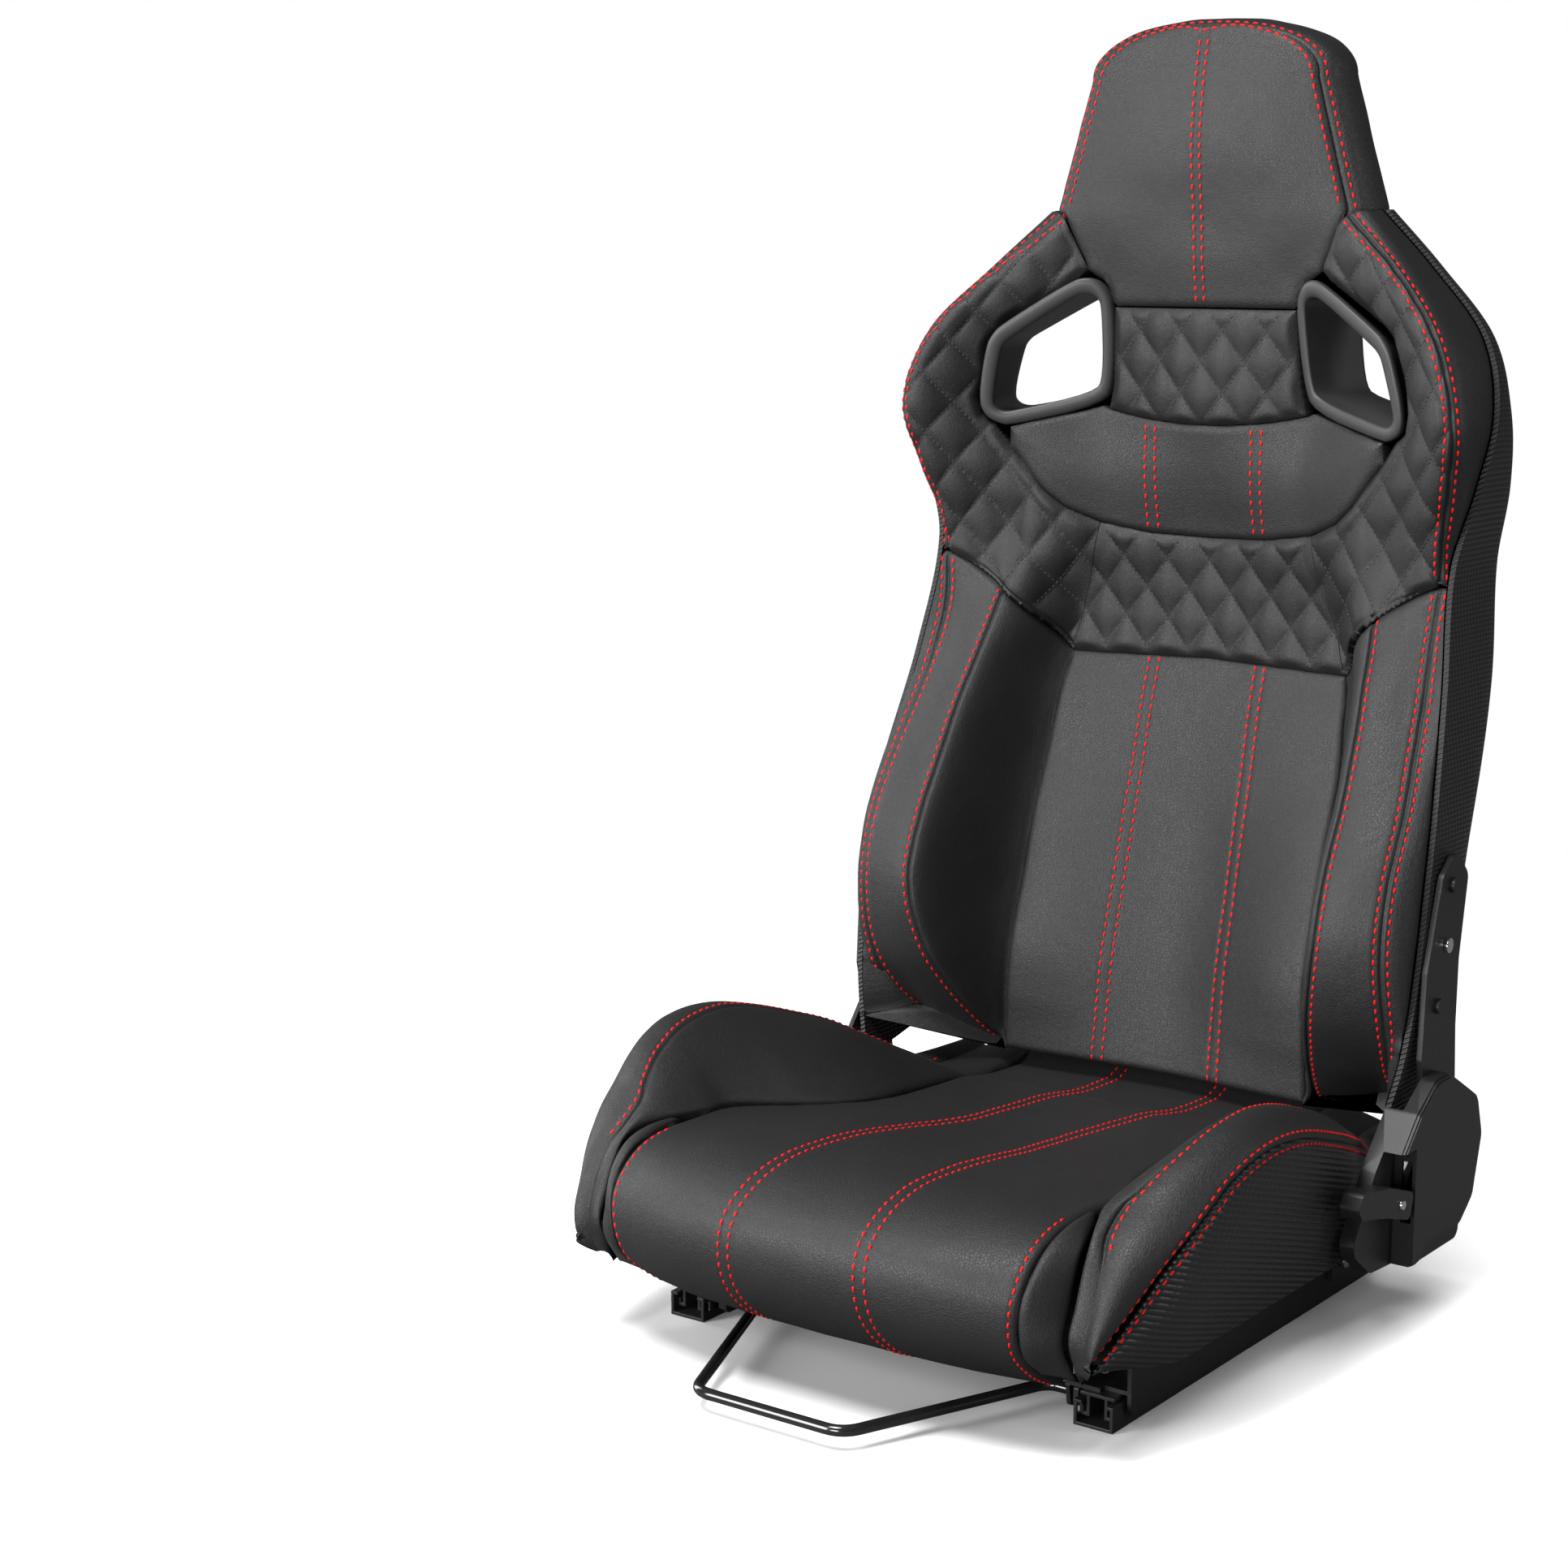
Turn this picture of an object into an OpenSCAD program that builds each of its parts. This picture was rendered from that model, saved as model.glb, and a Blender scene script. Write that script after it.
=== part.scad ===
// Reclining sport seat with harness openings.
// Millimetres, Z up, the seat faces -Y. Origin: middle of the floor bolts, on the underside of the rails.

/* [Backrest] */
// Height of the highest point of the head
back_top = 930; // [915:1:950]
// Width across the shoulder seams
shoulder_w = 470; // [455:1:485]
// Width across the seams at the waist
waist_w = 420; // [408:1:432]
// Width across the seams of the side bolsters
bolster_w = 448; // [436:1:454]
// Width of the centre panel of the back
panel_w = 258; // [246:1:270]
// Width of the head at its lower corners
head_w = 240; // [230:1:246]
// How far the bolster crests stand in front of the centre panel
bolster_reach = 118; // [90:1:124]
// Height of the foot of the back pads
foot_z = 125; // [122:1:130]
// Height at which the bolsters reach furthest forward
bolster_z = 270; // [262:1:278]
// Height of the narrowest point of the back
waist_z = 500; // [494:1:506]
// Height of the widest point of the shoulders
shoulder_z = 645; // [638:1:652]
// Height of the lower corners of the head
head_z = 790; // [782:1:796]
// Wall of the back shell
shell_t = 4; // [3:0.5:5]
// Width of one diamond of the quilting
quilt_w = 36; // [30:1:42]
// Height of one diamond of the quilting
quilt_h = 47.5; // [42:0.5:54]
// Height of the quilted puffs
quilt_puff = 4; // [2:0.5:5]
// How far the covers are drawn in along their seams
groove = 3; // [1:0.5:4]

/* [Cushion] */
// Half width of the centre cushion at its front
cushion_hw = 168; // [162:1:172]
// Height of the underside of the cushion
cushion_base = 70; // [68:1:74]
// Height that is added to the thigh bolsters
thigh_rise = 0; // [-8:1:8]
// Height of the lower edge of the side valances
valance_z = 56; // [52:1:62]
// Thickness of the valances
valance_t = 3; // [2:0.5:4]

/* [Frame] */
// Outer diameter of the back hoop
hoop_d = 18; // [16:1:20]
// Distance from the middle to the legs of the hoop
hoop_x = 165; // [160:1:170]
// Diameter of the cross tubes under the cushion
seat_tube_d = 20; // [16:1:22]
// Diameter of the spring wire
wire_d = 3.6; // [3:0.2:4]
// Thickness of the steel side members
side_t = 3; // [2:0.5:4]

/* [Rails] */
// Distance between the floor bolts across the seat
bolt_dx = 340; // [336:1:344]
// Distance between the floor bolts along the seat
bolt_dy = 330; // [300:1:350]
// Diameter of the floor bolt holes
bolt_hole_d = 8.5; // [6.5:0.5:9]
// Length of the floor rails
rail_len = 406; // [396:1:410]
// Width of the floor rails
rail_w = 30; // [29:1:32]
// Overall height of the pair of rails
rail_h = 22.5; // [21.5:0.5:24]

/* [Recliner] */
// Pivot of the backrest, distance behind the floor bolt centre
pivot_y = 150; // [148:1:152]
// Pivot of the backrest, height
pivot_z = 148; // [147:1:150]
// Diameter of the pivot bolts
pivot_d = 12; // [10:1:14]
// Thickness of the arms and brackets
arm_t = 4; // [3:0.5:4.5]
// Radius of the toothed sector
sector_r = 41; // [38:1:43]
// Number of teeth on the sector
sector_teeth = 24; // [16:1:32]
// Wall of the recliner cover
cover_t = 3; // [2:0.5:3.5]
// Length of the lever grip
grip_len = 86; // [70:1:92]

/* [Slide handle] */
// Diameter of the bent wire handle
bail_d = 8; // [7:0.5:9]
// Reach of the handle in front of its hinge
bail_reach = 151; // [140:1:160]
// Half width of the front bar of the handle
bail_hw = 62; // [50:1:80]

/* [Hidden] */
$fn = 48;
fit = 0.3;          // soft pieces and their neighbours
seat_gap = 0.1;     // metal pieces that bear on each other
run_gap = 0.5;      // pieces that move past each other
round_n = 5;        // steps of a rounded corner

// ---- Numbers and curves ----
function mix(a, b, t) = a + (b - a) * t;
function limit(t, lo, hi) = min(max(t, lo), hi);
function ease(t) = let (c = limit(t, 0, 1)) c * c * (3 - 2 * c);
function unit(v) = v / norm(v);
// Stations: rows of [place, value, value, ...] with a smooth curve through each column
function span(t, s, i = 0) = (i >= len(t) - 2 || s < t[i + 1][0]) ? i : span(t, s, i + 1);
function slope(t, k, i) = let (a = max(i - 1, 0), b = min(i + 1, len(t) - 1))
    (t[b][k] - t[a][k]) / (t[b][0] - t[a][0]);
function at(t, k, s) = let (i = span(t, s), h = t[i + 1][0] - t[i][0], c = limit((s - t[i][0]) / h, 0, 1))
    t[i][k] * (2 * c ^ 3 - 3 * c ^ 2 + 1) + slope(t, k, i) * h * (c ^ 3 - 2 * c ^ 2 + c)
    + t[i + 1][k] * (3 * c ^ 2 - 2 * c ^ 3) + slope(t, k, i + 1) * h * (c ^ 3 - c ^ 2);
// Places across a pad, with a narrow first and last cell for the drawn-in edge
function across(n, e = 0.07) = concat([0], [for (i = [0:n - 2]) mix(e, 1 - e, i / (n - 2))], [1]);
// Corner cutting, for closed outlines
function cut_corners(p) = [for (i = [0:len(p) - 1]) let (q = p[(i + 1) % len(p)])
    each [mix(p[i], q, 0.25), mix(p[i], q, 0.75)]];
// Polygon with rounded corners
function rounded(p, r) = [for (i = [0:len(p) - 1])
    let (b = p[i], a = p[(i + len(p) - 1) % len(p)] - b, c = p[(i + 1) % len(p)] - b,
        h = acos(limit(unit(a) * unit(c), -1, 1)) / 2,
        d = min(r / tan(h), norm(a) / 2.1, norm(c) / 2.1), q = d * tan(h),
        m = b + unit(unit(a) + unit(c)) * q / sin(h))
    for (k = [0:round_n]) m + unit(mix(b + unit(a) * d - m, b + unit(c) * d - m, k / round_n)) * q];

// ---- Solids ----
// Closed pad: rows of front points, and for each row the two ends of its plain back
module pad(front, back) {
    m = len(front[0]);
    n = len(front);
    f = m * n;
    half = floor((m - 1) / 2);
    points = concat([for (r = front) each r], [for (b = back) each b]);
    faces = concat(
        [for (j = [0:n - 2]) for (i = [0:m - 2]) let (a = j * m + i)
            each [[a, a + m, a + m + 1], [a, a + m + 1, a + 1]]],
        [for (j = [0:n - 2]) let (l = f + 2 * j, a = j * m, b = a + m - 1) each [
            [l, l + 1, l + 3], [l, l + 3, l + 2], [l, l + 2, a + m], [l, a + m, a],
            [b, b + m, l + 3], [b, l + 3, l + 1]]],
        [for (i = [0:m - 2]) [i, i + 1, f + (i < half ? 0 : 1)]], [[half, f + 1, f]],
        let (t = (n - 1) * m, l = f + 2 * (n - 1)) concat(
            [for (i = [0:m - 2]) [t + i + 1, t + i, l + (i < half ? 0 : 1)]], [[t + half, l, l + 1]]));
    polyhedron(points, faces, convexity = 6);
}
// Closed sheet between an outer and an inner grid of points
module sheet(outer, inner) {
    m = len(outer[0]);
    n = len(outer);
    f = m * n;
    points = concat([for (r = outer) each r], [for (r = inner) each r]);
    function two(a, b, c, d) = [[a, b, c], [a, c, d]];
    faces = concat(
        [for (j = [0:n - 2]) for (i = [0:m - 2]) let (a = j * m + i)
            each concat(two(a, a + m, a + m + 1, a + 1), two(f + a, f + a + 1, f + a + m + 1, f + a + m))],
        [for (i = [0:m - 2]) let (t = (n - 1) * m + i)
            each concat(two(i, i + 1, f + i + 1, f + i), two(t + 1, t, f + t, f + t + 1))],
        [for (j = [0:n - 2]) let (a = j * m, b = a + m - 1)
            each concat(two(a + m, a, f + a, f + a + m), two(b, b + m, f + b + m, f + b))]);
    polyhedron(points, faces, convexity = 6);
}
// Closed ring through loops of points, the last loop joined to the first
module ring(loops) {
    m = len(loops[0]);
    n = len(loops);
    faces = [for (j = [0:n - 1]) for (i = [0:m - 1])
        let (r = (j + 1) % n, k = (i + 1) % m, a = j * m + i, b = j * m + k, c = r * m + k, d = r * m + i)
        each [[a, c, b], [a, d, c]]];
    polyhedron([for (l = loops) each l], faces, convexity = 6);
}
module rod(a, b, d) {
    v = b - a;
    translate(a) rotate([0, acos(v.z / norm(v)), atan2(v.y, v.x)]) rotate([0, 0, 37])
        cylinder(h = norm(v), d = d);
}
// Bent tube: straight lengths, with a slightly fuller ball in each bend and at each end
bend_swell = 1.04;
module run(points, d) {
    for (i = [0:len(points) - 2]) rod(points[i], points[i + 1], d);
    for (i = [1:len(points) - 1]) translate(points[i]) rotate([90, 0, 20]) sphere(d = d * bend_swell);
}
// Outline in (y, z), thickness along x
module plate_x(x, t, outline) {
    translate([x, 0, 0]) rotate([90, 0, 90]) linear_extrude(t) polygon(outline);
}
// Outline in (x, z), length along y
module beam_y(y, l, outline) {
    translate([0, y + l, 0]) rotate([90, 0, 0]) linear_extrude(l) polygon(outline);
}
module bore_x(x, l, y, z, d) {
    translate([x, y, z]) rotate([0, 90, 0]) cylinder(h = l, d = d);
}
// Wire that runs to and fro, along +Y, in the plane z = 0
module zigzag(turns, pitch, reach, d) {
    for (i = [0:turns]) translate([-reach / 2, i * pitch, 0]) rotate([0, 90, 0]) cylinder(h = reach, d = d);
    for (i = [0:turns - 1]) translate([(i % 2 == 0 ? 1 : -1) * reach / 2, (i + 0.5) * pitch, 0])
        rotate([0, 0, i % 2 == 0 ? -90 : 90])
            rotate_extrude(angle = 180) translate([pitch / 2, 0]) circle(d = d);
}

// ---- Shape of the back ----
pa = panel_w / 2;
bo = bolster_w / 2;
wa = waist_w / 2;
sh = shoulder_w / 2;
he = head_w / 2;
neck_hw = 87;
neck_z = 633;
neck_top = shoulder_z + 71;
// Height, then x and y of the panel edge, of the bolster crest and of the outer seam, and y of the middle
back = [
    [foot_z, pa + 5, 163, pa + 9, 178, bo - 24, 178, 173],
    [foot_z + 25, pa + 4, 163, pa + 17, 178 - 0.25 * bolster_reach, bo - 12, 157, 178],
    [foot_z + 49, pa + 3, 161, pa + 25, 183 - 0.49 * bolster_reach, bo - 6, 130, 183],
    [bolster_z - 54, pa + 1, 163, pa + 37, 191 - 0.8 * bolster_reach, bo, 102, 191],
    [bolster_z, pa, 179, pa + 46, 203 - bolster_reach, bo, 92, 203],
    [bolster_z + 50, pa, 194, pa + 46, 214 - 0.97 * bolster_reach, bo - 1, 103, 214],
    [bolster_z + 95, pa - 1, 212, pa + 45, 223 - 0.83 * bolster_reach, bo - 3, 129, 223],
    [waist_z - 88, pa - 4, 225, pa + 42, 233 - 0.7 * bolster_reach, wa + 5, 158, 233],
    [waist_z - 57, pa - 9, 236, pa + 38, 241 - 0.62 * bolster_reach, wa + 2, 176, 241],
    [waist_z - 9, pa - 24, 238, pa + 32, 243 - 0.42 * bolster_reach, wa, 192, 243],
    [waist_z + 40, 80, 230, pa + 21, 207, wa + 4, 189, 239],
    [shoulder_z - 55, 75, 224, 147, 204, sh - 9, 171, 229],
    [shoulder_z - 5, 88, 226, 165, 198, sh, 154, 220],
    [shoulder_z + 55, 85, 220, 150, 200, sh - 21, 165, 217],
    [head_z - 45, 80, 216, 101, 214, sh - 62, 189, 212],
    [head_z, 60, 209, 100, 210, he, 209, 209]];
// Front face of the covers, for x >= 0
function skin(x, z) = let (p = at(back, 1, z), c = at(back, 3, z), e = at(back, 5, z))
    x < p ? mix(at(back, 7, z), at(back, 2, z), ease(x / p))
    : x < c ? mix(at(back, 2, z), at(back, 4, z), ease((x - p) / (c - p)))
    : mix(at(back, 4, z), at(back, 6, z), ease((x - c) / (e - c)));
function puff(x, z) = quilt_puff * pow(abs(sin(180 * (x / quilt_w + z / quilt_h))
    * sin(180 * (x / quilt_w - z / quilt_h))), 0.6);
// Planes behind the lower and the upper pads
function low_back(z) = 193 + 0.19 * (z - foot_z);
high_back = 257;
back_foot_z = foot_z + 23;

// Back shell: height, half width, y of its front edge and y of its rear, squareness
shell = [
    [foot_z - 3, bo + 1, 95, 229, 4],
    [foot_z + 75, bo + 16, 110, 242, 4],
    [bolster_z + 58, bo + 18, 135, 268, 4],
    [waist_z - 55, bo + 6, 176, 303, 6],
    [waist_z + 33, wa + 13, 197, 310, 7],
    [shoulder_z - 53, sh + 3, 202, 303, 5],
    [shoulder_z, sh + 9, 214, 293, 3.2],
    [shoulder_z + 55, sh - 7, 226, 290, 2.6],
    [head_z - 40, sh - 52, 234, 286, 2.5],
    [head_z, he + 22, 236, 283, 2.6]];
function shell_x(z) = at(shell, 1, z);
function shell_edge(z) = at(shell, 2, z);
// Depth of the shell's outer face behind x
function shell_y(x, z) = let (n = at(shell, 4, z), y = shell_edge(z))
    y + (at(shell, 3, z) - y) * pow(max(0, 1 - pow(abs(x) / shell_x(z), n)), 1 / n);
shell_nu = 22;
shell_nv = 14;
shell_sweep = 45;
function shell_grid(inset) = [for (j = [0:shell_nv]) [for (i = [0:shell_nu])
    let (t = 180 * i / shell_nu, z0 = mix(foot_z - 3, head_z, j / shell_nv),
        z = z0 + shell_sweep * sin(t) * pow(1 - j / shell_nv, 3), n = at(shell, 4, z),
        y = shell_edge(z), c = cos(t), s = max(sin(t), 0))
    [sign(c) * (shell_x(z) - inset) * pow(abs(c), 2 / n),
        y + (at(shell, 3, z) - inset - y) * pow(s, 2 / n), z]]];

// Bolsters: across from the panel edge to the seam, then round the side to the edge of the shell
bolster_foot = [[0, foot_z - 3], [0.35, foot_z + 6], [0.8, foot_z + 25], [1, foot_z + 40]];
bolster_head = [[0, waist_z - 57], [0.25, waist_z - 29], [0.5, waist_z - 7], [0.75, waist_z + 8],
    [1, waist_z + 21]];
function bolster_x(u, z) = let (c = at(back, 3, z))
    u < 0.5 ? mix(at(back, 1, z), c, 2 * u) : mix(c, at(back, 5, z), 2 * u - 1);
// Points behind the outer seam: round the side to the rim of the shell, then back inside it
side_step = 22;
bolster_taper = 50;  // the foam leaves room behind it for the side plates of the frame
function side_in(z) = 10 + 12 * ease((z - foot_z - 53) / 22) * ease((waist_z - 125 - z) / 20);
function rim_step(z) = 3 * ease((z - shoulder_z + 25) / 25);
function side_points(x, y, z, k) = let (sx = shell_x(z), sy = shell_edge(z)) [
    mix([x, y + 5, z + 1], [sx - shell_t - 2 - rim_step(z), sy - fit, z], k),
    mix([x, y + 11, z + 2], [sx - side_in(z) - rim_step(z), max(sy, y) + 12, z], k)];
function bolster_rows(nu, nv) = [for (j = [0:nv]) let (v = j / nv)
    concat([for (u = across(nu))
            let (z = mix(at(bolster_foot, 1, u), at(bolster_head, 1, u), v), x = bolster_x(u, z))
        [x + (u == 0 ? fit : 0), skin(x, z) + (u == 0 || u == 1 || j == 0 || j == nv ? groove : 0), z]],
        let (z = mix(at(bolster_foot, 1, 1), at(bolster_head, 1, 1), v), x = at(back, 5, z))
            side_points(x, skin(x, z), z, 1))];
tuck_z = waist_z - 60;
function bolster_tuck(z) = z < tuck_z ? z : mix(tuck_z, z, 0.6);
module bolster() {
    rows = bolster_rows(10, 14);
    pad(rows, [for (r = rows) let (a = r[0], b = r[len(r) - 1])
        [[a.x, low_back(max(a.z, back_foot_z)), max(a.z, back_foot_z)],
            [shell_x(b.z) - side_step - bolster_taper, low_back(min(bolster_tuck(b.z), leg_bend)) + 0.01,
                bolster_tuck(b.z)]]]);
}

// The quilted cover runs in a U from the middle of the back round each harness opening.
// Place along the U, then x and z of its inner edge
quilt_in = [
    [0, 0, 540], [1, 50, 541.6], [2, 91, 548], [3, 116, 559], [4, 133, 573], [5, 147, 590], [6, 160, 607],
    [7, 170.5, 623], [7.5, 180.5, 631], [8, 183.5, 645], [9, 174.5, 686], [9.5, 168.5, 697], [10, 161.5, 704.5],
    [11, 108, 738.5], [12, 100, head_z - 44]];
quilt_split = 2;
quilt_corner = 6;
quilt_end = 12;
function col(t, k) = [for (r = t) [r[0], r[k]]];
function quilt_inner(s) = [lookup(s, col(quilt_in, 1)), lookup(s, col(quilt_in, 2)) + (shoulder_z - 645)];
function quilt_outer(s) = s <= quilt_split
    ? [s / quilt_split * at(back, 1, waist_z - 57), waist_z - 54 - s * 1.5]
    : s <= quilt_corner ? let (u = (s - quilt_split) / (quilt_corner - quilt_split), z = at(bolster_head, 1, u))
        [bolster_x(u, z), z]
    : let (z = mix(waist_z + 21, head_z, (s - quilt_corner) / (quilt_end - quilt_corner)))
        [at(back, 5, z), z];
function quilt_point(s, t, drawn) = let (p = mix(quilt_inner(s), quilt_outer(s), t))
    [p.x, skin(p.x, p.y) + (drawn ? groove : -puff(p.x, p.y)), p.y];
module band() {
    nv = 42;
    nu = 10;
    rows = [for (j = [0:nv]) let (s = mix(-quilt_split, quilt_split, j / nv)) [for (t = across(nu))
        let (p = quilt_point(abs(s), t, t == 0 || t == 1 || j == 0 || j == nv),
            k = 1 - fit / 2 / norm([p.x, 1]))
        [p.x * (s < 0 ? -k : k), p.y, p.z + (t == 1 ? fit : 0)]]];
    pad(rows, [for (r = rows) [for (p = [r[0], r[nu]]) [p.x, high_back, p.z]]]);
}
yoke_taper = 9;
// The yoke leaves room behind its front for the flared tunnel of the harness opening
yoke_flare = 22;
function flare(s) = yoke_flare * ease((s - 5.5) / 1.3) * ease((12 - s) / 1.2);
module yoke() {
    nu = 7;
    low_n = 18;
    high_n = 27;
    places = concat([for (i = [0:low_n]) mix(quilt_split + 0.01, quilt_corner, i / low_n)],
        [for (i = [0:high_n]) mix(quilt_corner + 0.03, quilt_end, i / high_n)]);
    nv = len(places) - 1;
    rows = [for (j = [0:nv]) let (s = places[j], e = quilt_point(s, 1, false), k = s > quilt_corner ? 1 : 0)
        concat([for (t = across(nu)) let (p = quilt_point(s, t, t == 0 || t == 1 || j == 0 || j == nv))
            [p.x + (j == 0 ? fit : 0), p.y, p.z + (t == 1 && k < 1 ? fit : 0)]],
            [for (q = side_points(e.x, skin(e.x, e.z), e.z, k)) q + [0, 0, k < 1 ? fit : 0]])];
    pad(rows, [for (j = [0:nv]) let (a = rows[j][0], b = rows[j][len(rows[j]) - 1])
        [[a.x + flare(places[j]), high_back, a.z],
            j > low_n ? [shell_x(b.z) - side_step, high_back - yoke_taper, b.z]
            : [b.x + 0.5, high_back - yoke_taper, b.z + 3]]]);
}
module back_panel() {
    nv = 14;
    rows = [for (j = [0:nv]) let (v = j / nv)
        [for (u = across(10)) let (c = 2 * u - 1, z = mix(foot_z + 2, waist_z - 54 - 3 * abs(c), v),
                x = c * at(back, 1, z))
            [x * (1 - fit / pa), skin(abs(x), z) + (u == 0 || u == 1 || j == 0 || j == nv ? groove : 0), z]]];
    pad(rows, [for (r = rows) [for (p = [r[0], r[10]]) let (z = max(p.z, back_foot_z)) [p.x, low_back(z), z]]]);
}
crescent_hw = 160;
module crescent() {
    nv = 24;
    rows = [for (j = [0:nv]) let (x = mix(-crescent_hw, crescent_hw, j / nv), a = abs(x),
            lo = lookup(a, [for (r = quilt_in) if (r[0] <= 7) [r[1], r[2]]]) + fit,
            hi = (a < neck_hw ? neck_z - 5 + 10 * pow(a / neck_hw, 2) : mix(640, 622, (a - 90) / 70)) - fit)
        [for (t = across(6)) let (z = mix(hi, lo, t) + (shoulder_z - 645))
            [x, skin(a, z) + (t == 0 || t == 1 || j == 0 || j == nv ? groove : -1), z]]];
    pad(rows, [for (r = rows) [for (p = [r[0], r[6]]) [p.x, high_back, p.z]]]);
}
neck_shift = 11;  // the quilting of the neck starts a little higher
// Half width of the neck, beside the frames of the harness openings
function neck_x(z) = lookup(z, [[neck_z, neck_hw], [neck_z + 9, 84.6], [neck_z + 25, 81.2], [neck_top, 78]]);
module neck() {
    nv = 12;
    rows = [for (j = [0:nv]) [for (u = across(26, 0.03)) let (c = 2 * u - 1,
            z = mix(neck_z - 5 + 10 * c * c, neck_top, j / nv), x = c * neck_x(z) * (1 - 0.005),
            d = u == 0 || u == 1 || j == 0 || j == nv)
        [x, skin(abs(x), z) + (d ? groove : -puff(x, z - neck_shift)), z]]];
    pad(rows, [for (r = rows) [for (p = [r[0], r[26]]) [p.x, high_back, p.z]]]);
}

// Head: straight sides that lean in, then a round crown
crown_z = head_z + 95;
head_taper = 0.278;
head_round = 2.2;
head_crown = 8;
head_y = 211;
function head_x(z) = z < head_z ? mix(he - 20, he, (z - head_z + 45) / 45)
    : z < crown_z ? he - (z - head_z) * head_taper
    : (he - (crown_z - head_z) * head_taper)
        * pow(max(0, 1 - pow((z - crown_z) / (back_top - 4 - crown_z), head_round)), 1 / head_round);
module head() {
    nv = 14;
    nu = 12;
    top = back_top - 6;
    head_foot = [[0, neck_top + 1], [0.78, neck_top + 1], [0.84, neck_top + 18], [0.94, head_z - 49],
        [1, head_z - 45]];
    rows = [for (j = [0:nv]) let (v = 1 - pow(1 - j / nv, 1.35), edge = mix(head_z - 45, top, v))
        [for (u = across(nu)) let (c = 2 * u - 1, z = mix(lookup(abs(c), head_foot), top, v),
                x = c * (head_x(edge) - 2 * fit), d = u == 0 || u == 1 || j == 0 || j == nv)
            [x, z < head_z ? skin(abs(x), z) + (d ? groove - 1 : 0)
                : head_y - head_crown * (1 - c * c) * sin(180 * (z - head_z) / (top - head_z)) + (d ? 1.5 : 0),
                z]]];
    pad(rows, [for (r = rows) [for (p = [r[0], r[nu]])
        [p.x, mix(head_y + 3, head_y + 24, ease((head_z - 4 - p.z) / 16)), p.z]]]);
}
// Leather back of the head: the outline of the head, swelling behind the seam and closing at the rear
head_open_z = head_z + 1;
module head_back() {
    na = 22;
    // Depth behind the seam, then the scale across and upwards
    depths = [[0, 1.005, 1.0], [7, 1.08, 1.02], [17, 1.12, 1.035], [31, 1.13, 1.035], [47, 1.09, 1.02],
        [60, 0.95, 0.95], [66, 0.75, 0.8], [69, 0.45, 0.5], [70, 0.03, 0.03]];
    function outline(a) = let (side = abs(a), q = ease(limit(side, 0, 1)))
        side > 0.45 ? let (z = mix(crown_z, head_open_z, (side - 0.45) / 0.55)) [sign(a) * head_x(z), z]
        : let (t = 90 * side / 0.45, h = back_top - 4 - crown_z)
            [sign(a) * head_x(crown_z) * pow(sin(t), 2 / head_round), crown_z + h * pow(cos(t), 2 / head_round)];
    function grid(inset) = [for (d = depths) [for (i = [0:na]) let (p = outline(2 * i / na - 1))
        [p.x * d[1] * (1 - inset / 95), head_y + 3.5 + (d[0] == 0 ? 0 : d[0] * (1 - inset / 70)),
            head_open_z + (p.y - head_open_z) * d[2] * (1 - inset / 135)]]];
    sheet(grid(0), grid(shell_t));
}

// ---- Harness openings ----
bezel_outer = [
    [107, 737], [94, 740], [84, 734], [77.5, 717.3], [81.5, 660], [90, 640.5], [160, 622.5], [169, 624.5],
    [179, 630.5], [182, 645], [173, 686], [167, 696], [160, 703]];
bezel_inner = [
    [105, 725], [96, 727], [89, 724], [87, 715], [90, 662], [97, 650], [158, 634.5], [165, 634],
    [170, 636.5], [172, 643], [163, 681], [160, 687], [155, 692]];
tunnel_in = 98;
tunnel_flare = 1.24;
bezel_wall = 2.5;
function bezel_y(p) = 228 - 0.44 * (p.x - 90) - 0.2 * (p.y - 640);
function lift(p) = [p.x, p.y + shoulder_z - 645];
function tunnel(p) = [tunnel_in + (p.x - bezel_inner[3].x) * tunnel_flare, p.y];
function grown(p, d) = let (c = [128, 675]) p + unit(p - c) * d;
module bezel() {
    o = [for (p = cut_corners(bezel_outer)) grown(p, -fit)];
    i = cut_corners(bezel_inner);
    function loop(pts, dy) = [for (p = pts) let (q = lift(p)) [q.x, bezel_y(p) + dy, q.y]];
    function exit(d) = [for (p = i) let (t = grown(tunnel(p), d), q = lift(t))
        [q.x, shell_y(t.x, q.y) + 1.5, q.y]];
    ring([loop(o, 1.5), loop([for (k = [0:len(o) - 1]) mix(o[k], i[k], 0.4)], 0), loop(i, 2.5), exit(0),
        exit(bezel_wall), loop([for (p = i) grown(p, bezel_wall + 1.5)], 8),
        loop([for (p = o) grown(p, -0.5)], 8)]);
}
module tunnel_cut() {
    p = [for (q = cut_corners(bezel_inner)) lift(grown(tunnel(q), bezel_wall + fit + 1.4))];
    translate([0, 330, 0]) rotate([90, 0, 0]) linear_extrude(110) polygon(p);
}

// ---- Cushion ----
lip_z = 29;
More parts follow.
